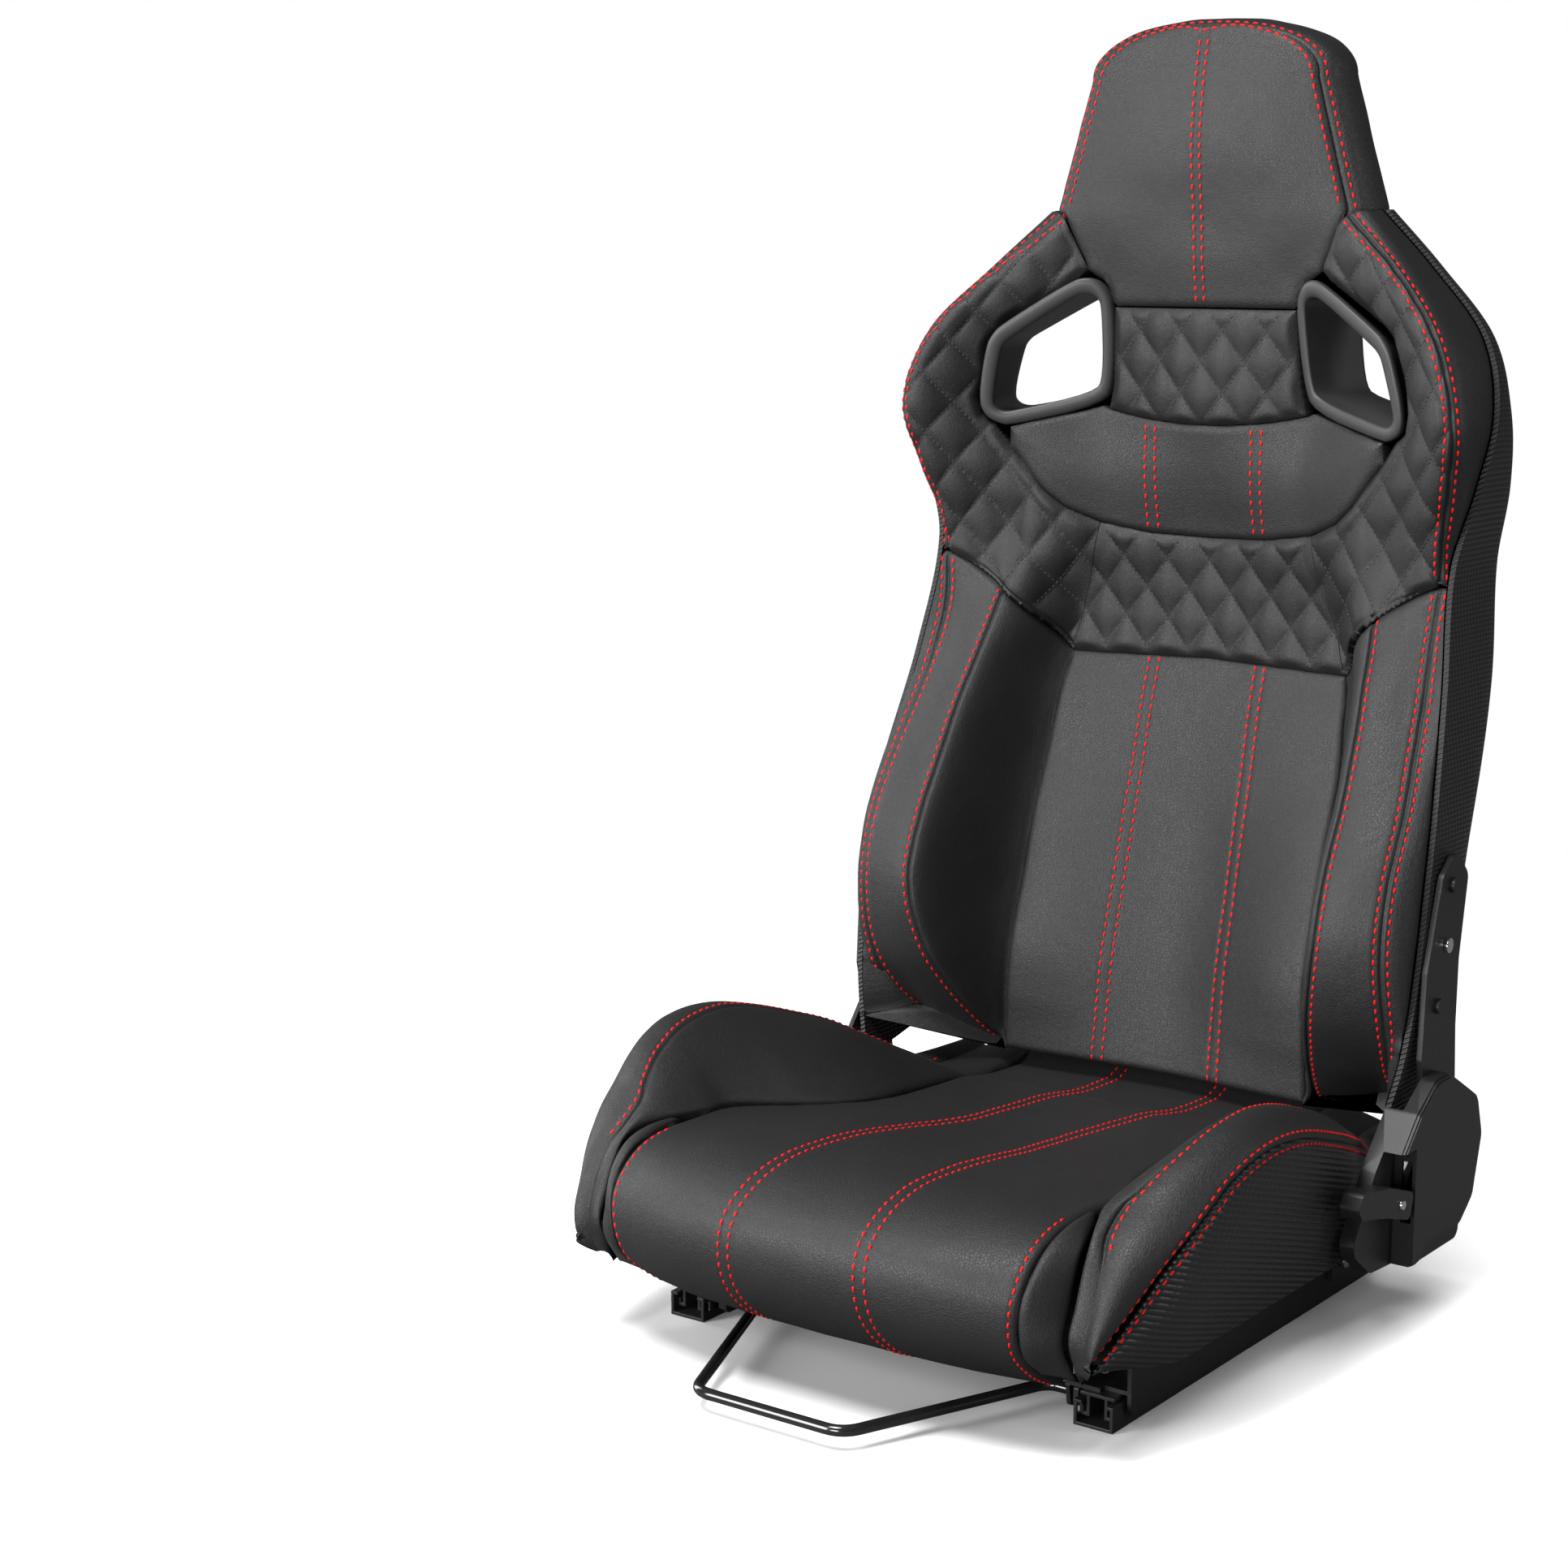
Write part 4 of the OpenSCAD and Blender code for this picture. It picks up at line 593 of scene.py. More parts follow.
def bolster(side):
    L1, L2, L3 = 84, 52, 64
    mm = places(L1 + L2 + L3, STEP, (0, L1, L1 + 4.2, L1 + L2, L1 + L2 - 5, L1 + L2 + 5))
    us = np.interp(mm, [0, L1, L1 + L2, L1 + L2 + L3], [0, 0.5, 1, 2])
    vs = shares(372, 5)

    def shape(u, v):
        f = np.minimum(u, 1)
        z = mix(at(BOLSTER_FOOT, 1, f), at(BOLSTER_HEAD, 1, f), v)
        x = bolster_x(f, z)
        face = stack(x, skin(x, z), z)
        return np.where((u > 1)[..., None], side_strip(face, z, np.clip(u - 1, 0, 1)), face)
    P, _ = grid_of(shape, us, vs, FRONT)
    ic, ie = pick(us, 0.5), pick(us, 1)
    P = soften(P, ie, 15)
    # Fuller foam between the seams
    U = np.broadcast_to(us, P.shape[:2])
    N = normals(P, FRONT)
    full = np.where(U < 0.5, 0.0, 2.4 * np.sin(math.pi * np.clip(2 * U - 1, 0, 1)))
    fades = ease(np.linspace(0, 6, len(vs)))[:, None] * ease(np.linspace(6, 0, len(vs)))[:, None]
    h = full * fades + uneven(P, 0.3)
    h -= rolled(from_edges(P, right=False), 4.2, 7.5)
    h -= furrow(gap(P, [P[:, ic]]), 2.6, 1.7) + furrow(gap(P, [P[:, ie]]), 1.6, 1.5)
    rows = [row_line(P, ic, CREST_ROW), row_line(P, ie, -SEAM_ROW), row_line(P, ie, SEAM_ROW)]
    P = P + N * (h - dents(P, rows))[..., None]
    zs = P[:, -1, 2]
    tuck = np.where(zs < 440, zs, mix(440, zs, 0.6))
    flat = stack(at(SHELL, 1, zs) - 26, np.maximum(at(SHELL, 2, zs), P[:, ie, 1]) + 10, zs)
    P, N = widened(P, N, flat)
    a = P[:, 0]
    az = np.maximum(a[:, 2], FOOT)
    left = stack(a[:, 0], low_back(az), az)
    right = stack(at(SHELL, 1, zs) - 72, low_back(np.minimum(tuck, 480)), tuck)
    P, N, left, right = sided(side, P, N, left, right)
    threads("back", P, N, rows)
    pad("side_bolster", P, left, right, BACK_PLAIN, "back_bolster", 0.8, side)


# The quilted cover: place along the U, then x and z of its inner edge
QUILT_IN = np.array([
    [0, 0, 540], [1, 50, 541.6], [2, 91, 548], [3, 116, 559], [4, 133, 573], [5, 147, 590], [6, 160, 607],
    [7, 170.5, 623], [7.5, 180.5, 631], [8, 183.5, 645], [9, 174.5, 686], [9.5, 168.5, 697],
    [10, 161.5, 704.5], [11, 108, 738.5], [12, 100, 746]], float)
QUILT_W, QUILT_H, NECK_SHIFT, PUFF = 36, 47.5, 11, 3.3
# Pitch, length, radius, free ends and sink of the stitches of the quilting
QUILT_THREAD = 4.4, 2.9, 0.5, 0.8, 0.1


def quilt_outer(s):
    u = np.clip((s - 2) / 4, 0, 1)
    z2 = at(BOLSTER_HEAD, 1, u)
    z3 = mix(521, 790, (s - 6) / 6)
    z = np.where(s <= 2, 446 - s * 1.5, np.where(s <= 6, z2, z3))
    x = np.where(s <= 6, bolster_x(u, z2), at(BACK, 5, z3))
    return np.where(s <= 2, s / 2 * at(BACK, 1, np.full(1, 443.0)), x), z


def quilt_point(s, t):
    x0, z0 = (np.interp(s, QUILT_IN[:, 0], QUILT_IN[:, k]) for k in (1, 2))
    x1, z1 = quilt_outer(s)
    x, z = mix(x0, x1, t), mix(z0, z1, t)
    return stack(x, skin(x, z), z)


def puff(P, shift=0.0):
    x, z = P[..., 0], P[..., 2] - shift
    a = np.abs(np.sin(math.pi * (x / QUILT_W + z / QUILT_H)) * np.sin(math.pi * (x / QUILT_W - z / QUILT_H)))
    return a**0.62


def quilt_lines(x0, x1, z0, z1, shift):
    """The sewn lines of the quilting, as (x, z) lines that cover a box."""
    lines = []
    for way in (1, -1):
        corners = [way * x / QUILT_W + (z - shift) / QUILT_H for x in (x0, x1) for z in (z0, z1)]
        for k in range(math.floor(min(corners)), math.ceil(max(corners)) + 1):
            z = np.linspace(z0, z1, 600)
            x = way * (k - (z - shift) / QUILT_H) * QUILT_W
            m = (x >= x0) & (x <= x1)
            if m.sum() > 3:
                lines.append((x[m], z[m]))
    return lines


def tree_of(P):
    return BVHTree.FromPolygons(P.reshape(-1, 3).tolist(), skin_faces(numbered(P)))


def quilt_stitch(P, e, box, shift=0.0, margin=3.2):
    """Small stitches along the quilting, where the pad's front is met from the front."""
    nu = P.shape[1]
    tree = tree_of(P)
    for x, z in quilt_lines(*box, shift):
        X, n = [], []

        def flush():
            """Sews the points found so far and starts again."""
            if len(X) > 4:
                stitches("quilt", np.array(X), np.array(n), *QUILT_THREAD)
            X.clear()
            n.clear()
        for px, pz in zip(x, z):
            loc, no, f, _ = tree.ray_cast(Vector((px, -200, pz)), Vector((0, 1, 0)))
            if loc is None or e[f // (nu - 1), f % (nu - 1)] < margin:
                flush()
                continue
            X.append(tuple(loc))
            n.append(tuple(-no if no.y > 0 else no))
        flush()


def band():
    ts, ss = shares(108, QUILT_STEP), shares(300, QUILT_STEP) * 4 - 2

    def shape(t, s):
        p = quilt_point(np.abs(s), t)
        p[..., 0] *= np.where(s < 0, -0.998, 0.998)
        return p
    P, N = grid_of(shape, ts, ss, FRONT)
    e = from_edges(P, ends=False)
    P = P + N * (PUFF * puff(P) * ease(e / 9) - rolled(e, 4.0, 6.5))[..., None]
    quilt_stitch(P, e, (-125, 125, 425, 565))
    pad("quilted_band", P, *behind(P), BACK_QUILTED, "quilt_band", 0.8)


def yoke(side):
    T, S3 = 82, 70
    mm = places(T + S3, 2.3, (0, T, T - 5, T + 5))
    ts = np.interp(mm, [0, T, T + S3], [0, 1, 2])
    p1 = places(150, 2.2, (0,)) / 150 * 3.99 + 2.01
    ss = np.concatenate([p1, shares(330, 2.2) * 5.98 + 6.02])

    def shape(t, s):
        f = np.minimum(t, 1)
        face = quilt_point(s, f)
        side_t = np.clip(t - 1, 0, 1)
        strip = side_strip(face, face[..., 2], side_t)
        under = face + stack(0 * side_t, 9 * side_t, 2 * side_t)
        low = (s < 6.01)[..., None]
        return np.where((t > 1)[..., None], np.where(low, under, strip), face)
    P, _ = grid_of(shape, ts, ss, FRONT)
    ie = pick(ts, 1)
    k = len(p1)
    up = (np.arange(len(ss)) >= k)[:, None]
    P = soften(P, ie, np.where(up[:, 0], 15, 0.01))
    N = normals(P, FRONT)
    top_e = gap(P, [P[-1]])
    e = gap(P, [P[:, 0], P[:k, ie], P[k, ie:]])
    T = np.broadcast_to(ts, P.shape[:2])
    lift = PUFF * puff(P) * ease(np.minimum(e, top_e) / 9) * ease((1.02 - T) * 14)
    h = lift - rolled(e, 4.0, 6.5) - rolled(top_e, 1.2, 3)
    h = np.where((T > 1.0) & ~up, -4.0, h)
    rows = [(fu[k:], fv[k:]) for fu, fv in (row_line(P, ie, -SEAM_ROW), row_line(P, ie, SEAM_ROW))]
    h -= np.where(up, furrow(gap(P, [P[k:, ie]]), 1.7, 1.5) + dents(P, rows), 0)
    P = P + N * h[..., None]
    inner = gap(P, [P[:, 0], P[-1], P[:, ie]])
    a, c = P[:, 0], P[:, -1]
    rim = at(SHELL, 1, c[:, 2])
    flat = np.where(up, stack(rim - 14, np.maximum(c[:, 1], at(SHELL, 2, c[:, 2])) + 8, c[:, 2]),
                    c + np.array([0, 2, 0.5]))
    flare = 22 * ease((ss - 5.5) / 1.3) * ease((12 - ss) / 1.2)
    left = stack(a[:, 0] + flare, HIGH_BACK, a[:, 2])
    right = np.where(up, stack(rim - 24, HIGH_BACK - 9, c[:, 2]), stack(c[:, 0], HIGH_BACK - 9, c[:, 2] + 1))
    P, N = widened(P, N, flat)
    P, N, left, right = sided(side, P, N, left, right)
    threads("back", P, N, rows)
    box = (-240, -60, 440, 792) if side < 0 else (60, 240, 440, 792)
    quilt_stitch(P[:, :ie + 1], inner[:, :ie + 1], box, margin=4.5)
    pad("quilted_yoke", P, left, right, BACK_QUILTED, "yoke", 0.8, side)


def crescent():
    xs, ts = (shares(336, STEP) * 2 - 1) * 160, shares(90, 3.5)

    def shape(t, x):
        a = np.abs(x)
        lo = np.interp(a, QUILT_IN[:8, 1], QUILT_IN[:8, 2]) + 0.3
        hi = np.where(a < 87, 628 + 10 * (a / 87)**2, mix(640, 622, (a - 90) / 70)) - 0.3
        z = mix(hi, lo, t)
        return stack(x, skin(a, z), z)
    P, N = grid_of(shape, ts, xs, FRONT)
    e = from_edges(P)
    rows = [(np.arange(len(ts), dtype=float), np.full(len(ts), np.interp(x, xs, np.arange(len(xs)))))
            for x in (-41.5, -50, 41.5, 50)]
    h = 1.5 * ease(e / 40) - rolled(e, 3.8, 6.5) + uneven(P, 0.2) - dents(P, rows, 0.4)
    P = P + N * h[..., None]
    threads("back", P, N, rows)
    pad("crescent_panel", P, *behind(P), BACK_PLAIN, "crescent_pad", 0.7)


def neck():
    def shape(u, v):
        c = 2 * u - 1
        z = mix(628 + 10 * c * c, 716, v)
        x = c * np.interp(z, [633, 642, 658, 716], [87, 84.6, 81.2, 78]) * 0.995
        return stack(x, skin(np.abs(x), z), z)
    P, N = grid_of(shape, shares(175, QUILT_STEP), shares(86, QUILT_STEP), FRONT)
    e = from_edges(P)
    h = PUFF * puff(P, NECK_SHIFT) * ease(e / 9) - rolled(e, 3.8, 6.5)
    P = P + N * h[..., None]
    quilt_stitch(P, e, (-88, 88, 626, 718), NECK_SHIFT, 3.6)
    pad("quilted_neck_panel", P, *behind(P), BACK_QUILTED, "neck_pad", 0.8)


# The crown of the head: half width, height where it starts, its own height and its power
CROWN_W, CROWN_Z, CROWN_H, CROWN_N = 93.6, 885, 41, 2.2
# The foot of the head at its sides, and the top of the head's panel
HEAD_LOW, HEAD_TOP = 745, 925.2


def head_x(z):
    crown = CROWN_W * np.maximum(0, 1 - (np.maximum(z - CROWN_Z, 0) / CROWN_H)**CROWN_N)**(1 / CROWN_N)
    sides = np.where(z < 790, mix(100, 120, (z - HEAD_LOW) / 45), 120 - (z - 790) * 0.278)
    return np.where(z < CROWN_Z, sides, crown)


HEAD_FOOT = np.array([[0, 717], [0.78, 717], [0.84, 734], [0.94, 741], [1, HEAD_LOW]], float)
HEAD_Y = 211


def head():
    us = shares(235, 4, 108, 114, 117.5, 121, 127)
    vs = 1 - (1 - shares(212, 3.5))**1.25

    def shape(u, v):
        c = 2 * u - 1
        z = mix(np.interp(np.abs(c), HEAD_FOOT[:, 0], HEAD_FOOT[:, 1]), HEAD_TOP, v)
        x = c * (head_x(mix(HEAD_LOW, HEAD_TOP, v)) - 0.4)
        bow = 8 * (1 - c * c) * np.sin(math.pi * np.clip((z - 760) / 164, 0, 1))**1.7
        return stack(x, mix(skin(np.abs(x), z), HEAD_Y - bow, ease((z - 735) / 90)), z)
    P, N = grid_of(shape, us, vs, FRONT)
    e = from_edges(P)
    half = head_x(mix(HEAD_LOW, HEAD_TOP, vs)) - 0.4 + 1e-6
    rows = [along(np.clip((off / half + 1) / 2, 0.1, 0.9), us) for off in (-3.4, 3.4)]
    h = 2.0 * ease(e / 45) - rolled(e, 4.4, 8) + uneven(P, 0.25) - dents(P, rows, 0.4)
    P = P + N * h[..., None]
    m = P[:, len(us) // 2, 2] < 922
    threads("back", P, N, [(fu[m], fv[m]) for fu, fv in rows])
    # One row of stitches inside the seam, round the whole head
    n = len(us) - 1
    k = pick(P[:, 0, 2], 792)
    su, sv = runs(P, 1), runs(P, 0)
    left = [(np.interp(HEAD_ROW, su[j], np.arange(n + 1)), float(j))
            for j in range(k, len(vs)) if su[j, -1] > 60][:-3]
    arc = [(float(i), np.interp(sv[-1, i] - HEAD_ROW, sv[:, i], np.arange(len(vs)))) for i in range(6, n - 5)]
    fu, fv = np.array(left + arc + [(n - i, j) for i, j in left[::-1]]).T
    line = smooth(fine(sample(P, fu, fv), 2.0), 3)
    tree = tree_of(P)
    hits = [tree.find_nearest(Vector(q))[:2] for q in line]
    turned = [tuple(no if no.y < 0 else -no) for _, no in hits]
    stitches("back", np.array([tuple(place) for place, _ in hits]), np.array(turned), length=5.0)
    z0 = P[:, 0, 2]
    y = HEAD_Y + mix(3, 20, ease((786 - z0) / 16))
    pad("head_panel", P, *(stack(P[:, k, 0] * 0.97, y, z0) for k in (0, -1)), BACK_PLAIN, "head_pad", 0.8)


HEAD_DEPTH = np.array([
    [0, 1.003, 1.0], [7, 1.08, 1.02], [17, 1.12, 1.035], [31, 1.13, 1.035], [47, 1.09, 1.02],
    [60, 0.95, 0.95], [66, 0.75, 0.8], [69, 0.45, 0.5], [70, 0.03, 0.03]], float)


def head_back():
    a = np.linspace(-1.06, 1.06, 129)
    last = 60 + 10 * np.sin(np.linspace(0.05, 1, 22) * math.pi / 2)
    d = np.concatenate([NEAR, np.linspace(9, 58, 24), last])

    def outline(q):
        s = np.abs(q)
        z = mix(CROWN_Z, 791, (s - 0.45) / 0.55)
        t = math.pi / 2 * np.minimum(s / 0.45, 1)
        x1 = CROWN_W * np.sin(t)**(2 / CROWN_N)
        z1 = CROWN_Z + CROWN_H * np.abs(np.cos(t))**(2 / CROWN_N)
        return np.sign(q) * np.where(s > 0.45, head_x(z), x1), np.where(s > 0.45, z, z1)

    def grid(inset):
        A, D = np.meshgrid(a, d)
        x, z = outline(A)
        return stack(x * at(HEAD_DEPTH, 1, D) * (1 - inset / 95), 213.5 + D * (1 - inset / 70),
                     791 + (z - 791) * at(HEAD_DEPTH, 2, D) * (1 - inset / 135))
    P = grid(0)
    N = normals(P, (0, 0.2, 1))
    if ((P - P.mean((0, 1))) * N).sum(-1).mean() < 0:
        N = -N
    rows = [column_line(P, 0, 6.2)]
    h = -rolled(runs(P, 0), 4.2, 7) + uneven(P, 0.5) * ease(runs(P, 0) / 10) - dents(P, rows, 0.7, 1.7)
    P = P + N * h[..., None]
    threads("back", P, N, rows)
    dress(mesh("head_cover", *walled(P, grid(WALL))), *BACK_PLAIN, ("head_shell",), 0.7)


# ---- Harness openings ----
BEZEL_OUT = [[107, 737], [94, 740], [84, 734], [77.5, 717.3], [81.5, 660], [90, 640.5], [160, 622.5],
             [169, 624.5], [179, 630.5], [182, 645], [173, 686], [167, 696], [160, 703]]
BEZEL_IN = [[105, 725], [96, 727], [89, 724], [87, 715], [90, 662], [97, 650], [158, 634.5], [165, 634],
            [170, 636.5], [172, 643], [163, 681], [160, 687], [155, 692]]


# Section of the lip: share from the outer to the inner edge, and depth
LIP = ((0, 2.6), (0.06, 1.0), (0.16, 0.2), (0.4, -0.3), (0.72, -0.1), (0.88, 0.7), (0.97, 1.6))


def cut_corners(p):
    p = np.array(p, float)
    for _ in range(2):
        q = np.roll(p, -1, 0)
        p = np.stack([mix(p, q, 0.25), mix(p, q, 0.75)], 1).reshape(-1, 2)
    return p


def grown(p, d):
    v = p - np.array([128, 675])
    return p + v / np.linalg.norm(v, axis=1, keepdims=True) * d


def shell_y(x, z):
    n, y = at(SHELL, 4, z), at(SHELL, 2, z)
    return y + (at(SHELL, 3, z) - y) * np.maximum(0, 1 - (np.abs(x) / at(SHELL, 1, z))**n)**(1 / n)


def tunnel(p):
    return np.stack([98 + (p[:, 0] - 87) * 1.24, p[:, 1]], 1)


def bezel(side):
    o, i = grown(cut_corners(BEZEL_OUT), -0.3), cut_corners(BEZEL_IN)

    def loop(p, dy):
        return stack(p[:, 0], 228 - 0.44 * (p[:, 0] - 90) - 0.2 * (p[:, 1] - 640) + dy, p[:, 1])

    def leave(d):
        t = grown(tunnel(i), d)
        return stack(t[:, 0], shell_y(t[:, 0], t[:, 1]) + 1.5, t[:, 1])
    inner, out = loop(i, 2.5), leave(0)
    loops = [loop(o, 6)] + [loop(mix(o, i, t), dy) for t, dy in LIP] + [inner]
    loops += [mix(inner, out, t) for t in (0.04, 0.3, 0.6, 0.96)]
    loops += [out, leave(2.5), loop(grown(i, 4), 12), loop(grown(o, -0.5), 9)]
    L, = sided(side, np.array(loops))
    k = numbered(L)
    a, b = np.roll(k, -1, 0), np.roll(k, -1, 1)
    ob = mesh("harness_ring" + WORD[side], L.reshape(-1, 3), quads(k, b, np.roll(a, -1, 1), a))
    dress(ob, "backrest", BEZEL, "grey_plastic", ("harness_bezel" + WORD[side],))


def shell():
    T, J = np.meshgrid(np.linspace(0, math.pi, 97), np.linspace(0, 1, 111))
    z = mix(122, 790, J) + 45 * np.sin(T) * (1 - J)**3
    n, y = at(SHELL, 4, z), at(SHELL, 2, z)
    c, s = np.cos(T), np.maximum(np.sin(T), 0)

    def grid(inset):
        return stack(np.sign(c) * (at(SHELL, 1, z) - inset) * np.abs(c)**(2 / n),
                     y + (at(SHELL, 3, z) - inset - y) * s**(2 / n), z)
    o = mesh("carbon_back", *walled(grid(0), grid(WALL)))
    cut = []
    for side in (-1, 1):
        p = grown(tunnel(cut_corners(BEZEL_IN)), 2.8) * np.array([side, 1])
        m = len(p)
        v = np.concatenate([stack(p[:, 0], 200, p[:, 1]), stack(p[:, 0], 335, p[:, 1])])
        q = np.arange(m)
        r = np.roll(q, -1)
        cut.append((v, quads(q, r, r + m, q + m) + [q[::-1].tolist(), (q + m).tolist()]))
    tool = mesh("cut", *join(*cut))
    mod = o.modifiers.new("openings", "BOOLEAN")
    mod.object, mod.operation, mod.solver = tool, "DIFFERENCE", "EXACT"
    done = bpy.data.meshes.new_from_object(o.evaluated_get(bpy.context.evaluated_depsgraph_get()))
    o.modifiers.clear()
    o.data = done
    bpy.data.objects.remove(tool)
    o.data.polygons.foreach_set("use_smooth", [True] * len(o.data.polygons))
    dress(o, "backrest", CARBON, "carbon_vinyl", ("back_shell",))
    sharp(o, 40)


def sharp(o, angle):
    """Edges steeper than the angle stay sharp in the shading."""
    bm = bmesh.new()
    bm.from_mesh(o.data)
    for e in bm.edges:
        if len(e.link_faces) == 2 and e.calc_face_angle(0) > math.radians(angle):
            e.smooth = False
    bm.to_mesh(o.data)
    bm.free()


# ---- Cushion ----
# Place, then y and z in the middle, y and z at the sides, half width, and y and z of the underside
SEAT = np.array([
    [0, -222, 29, -226, 34, 158, -208, 37], [1, -262, 47, -256, 50, 161, -214, 48],
    [2, -294, 74, -285, 74, 164, -222, 60], [3, -306, 102, -294, 100, 166, -225, 70],
    [4, -301, 127, -289, 123, 168, -220, 70], [5, -277, 143, -269, 143, 168, -212, 70],
    [6, -243, 151, -240, 151.5, 168, -200, 70], [7, -200, 151, -200, 151.5, 168, -180, 70],
    [8, -155, 147, -155, 149, 168, -150, 70], [9, -96, 138, -96, 141, 143, -96, 70],
    [10, -32, 129, -32, 132, 127, -32, 70], [11, 22, 125, 22, 127, 125, 22, 70],
    [12, 77, 121.5, 77, 123, 127, 77, 70], [13, 132, 118, 132, 118, 131, 132, 70],
    [14, 188, 115, 188, 114, 133, 184, 70]], float)
CUSHION_ROW = np.array([
    [0, 62], [1, 61], [2, 60.6], [4, 59], [5, 58], [6, 57], [8, 57], [9, 53], [10, 45], [11, 45], [12, 47],
    [14, 49]], float)


# Y of the seam across the rear, and how far the rear edge goes back past the table, dips and rises
CROSS_SEAM, TAIL, TAIL_DIP, TAIL_RISE = 105, 22, 4.5, 8.6


def cushion():
    us = shares(330, STEP, 5, 103, 111, 219, 227, 325)
    q = np.linspace(0, 14, 300)
    probe = stack(0, at(SEAT, 1, q), at(SEAT, 2, q))
    arc = np.r_[0, np.cumsum(np.linalg.norm(np.diff(probe, axis=0), axis=1))]
    mm = places(arc[-1], STEP, (0, np.interp(CROSS_SEAM, probe[:, 1], arc), arc[-1]))
    ss = np.interp(mm, arc, q)

    def shape(u, s):
        c = 2 * u - 1
        e = np.abs(c)**2.4
        w = at(SEAT, 5, s) - 0.3
        tail = np.clip((s - 13.4) / 0.6, 0, 1)
        drop = TAIL_DIP * ease((s - 12) / 1.2) - TAIL_RISE * ease(tail * 2 - 1)
        return stack(c * w, mix(at(SEAT, 1, s), at(SEAT, 3, s), e) + TAIL * tail,
                     mix(at(SEAT, 2, s), at(SEAT, 4, s), e) - drop)
    P, N = grid_of(shape, us, ss, (0, -0.4, 1))
    w = at(SEAT, 5, ss) - 0.3
    hw = smooth(np.interp(ss, CUSHION_ROW[:, 0], CUSHION_ROW[:, 1]), 6)
    rows = [along((side * (hw - inner) / w + 1) / 2, us) for side in (-1, 1) for inner in (0, ROW_GAP)]
    front = pick(ss, 6.4)
    for c, off in ((0, 5.0), (len(us) - 1, -5.0)):
        fu, fv = row_line(P, c, off)
        rows.append((fu[2:front], fv[2:front]))
    e = from_edges(P)
    h = 3.0 * ease(e / 60) * ease((13 - ss[:, None]) / 3) - rolled(e, 4.4, 7) + uneven(P, 0.3)
    h -= np.where((ss > 11)[:, None], furrow(P[..., 1] - CROSS_SEAM, 0.9, 1.3), 0)
    P = P + N * (h - dents(P, rows, width=1.7))[..., None]
    threads("seat", P, N, rows)
    edges = [stack(x, at(SEAT, 6, ss), at(SEAT, 7, ss)) for x in (-w, w)]
    pad("seat_cushion", P, *edges, SEAT_PLAIN, "cushion_pad", 0.7)


INFILL = np.array([
    [0, 162, -257, 52, 188, -258, 54], [1, 165, -285, 74, 189, -273, 83], [2, 167, -293, 100, 189, -266, 105],
    [3, 169, -288, 124, 188.5, -255, 131], [4, 169, -268, 143, 187, -244, 143],
    [5, 169, -240, 151.5, 182, -228, 149], [6, 169, -208, 151.5, 174, -208, 152]], float)
# Place, then inner edge, crest and outer seam
THIGH = np.array([
    [0, 190, -258, 54, 199, -268, 62, 208, -272, 76],
    [1, 190, -273, 83, 203, -273, 88, 216, -258, 91],
    [2, 190, -266, 105, 204, -264, 112, 224, -243, 108],
    [3, 189.5, -255, 131, 203, -252, 134, 234, -226, 130],
    [4, 188.5, -244, 143, 198, -238, 149, 242, -208, 148],
    [5, 183, -228, 149.5, 198, -219, 163, 247, -186, 165],
    [6, 175, -208, 152, 204, -206, 173, 250, -168, 177],
    [7, 169, -175, 150.5, 211, -183, 187, 253, -148, 185],
    [8, 169, -150, 148.5, 216, -150, 199, 255, -125, 189],
    [9, 156, -118, 143, 217.5, -112, 203.5, 256, -98, 188.5],
    [10, 139, -80, 138, 217, -75, 200, 254, -65, 182],
    [11, 128, -32, 132, 211, -32, 188, 249, -25, 170],
    [12, 126, 22, 127, 202, 22, 169, 239, 25, 153],
    [13, 128, 77, 122.5, 188, 77, 141, 224, 77, 134],
    [14, 132, 132, 117.5, 181, 132, 117, 210, 132, 114],
    [15, 134, 186, 112, 178, 184, 106, 198, 182, 103]], float)


def three(table, k, s):
    return np.stack([at(table, k + i, s) for i in range(3)], -1)


def infill(side):
    def shape(u, s):
        bulge = np.array([0, -5, 3]) * (u * (1 - u) * 3.2)[..., None]
        return mix(three(INFILL, 1, s), three(INFILL, 4, s), u[..., None]) + np.array([0.6, 0, 0]) + bulge
    P, N = grid_of(shape, shares(26, 2.5), shares(175, 4) * 6, (0, -1, 0.5))
    P = P - N * rolled(from_edges(P), 3.2, 6)[..., None]
    a, c = P[:, 0], P[:, -1]
    left = stack(a[:, 0] + 0.5, np.minimum(a[:, 1] + 30, -205), np.maximum(a[:, 2] - 20, 60))
    right = stack(a[:, 0] + 2.5, np.minimum(c[:, 1] + 25, -203), np.maximum(c[:, 2] - 20, 60))
    P, left, right = sided(side, P, left, right)
    pad("cushion_gusset", P, left, right, SEAT_PLAIN, "cushion_infill", 0.7, side)


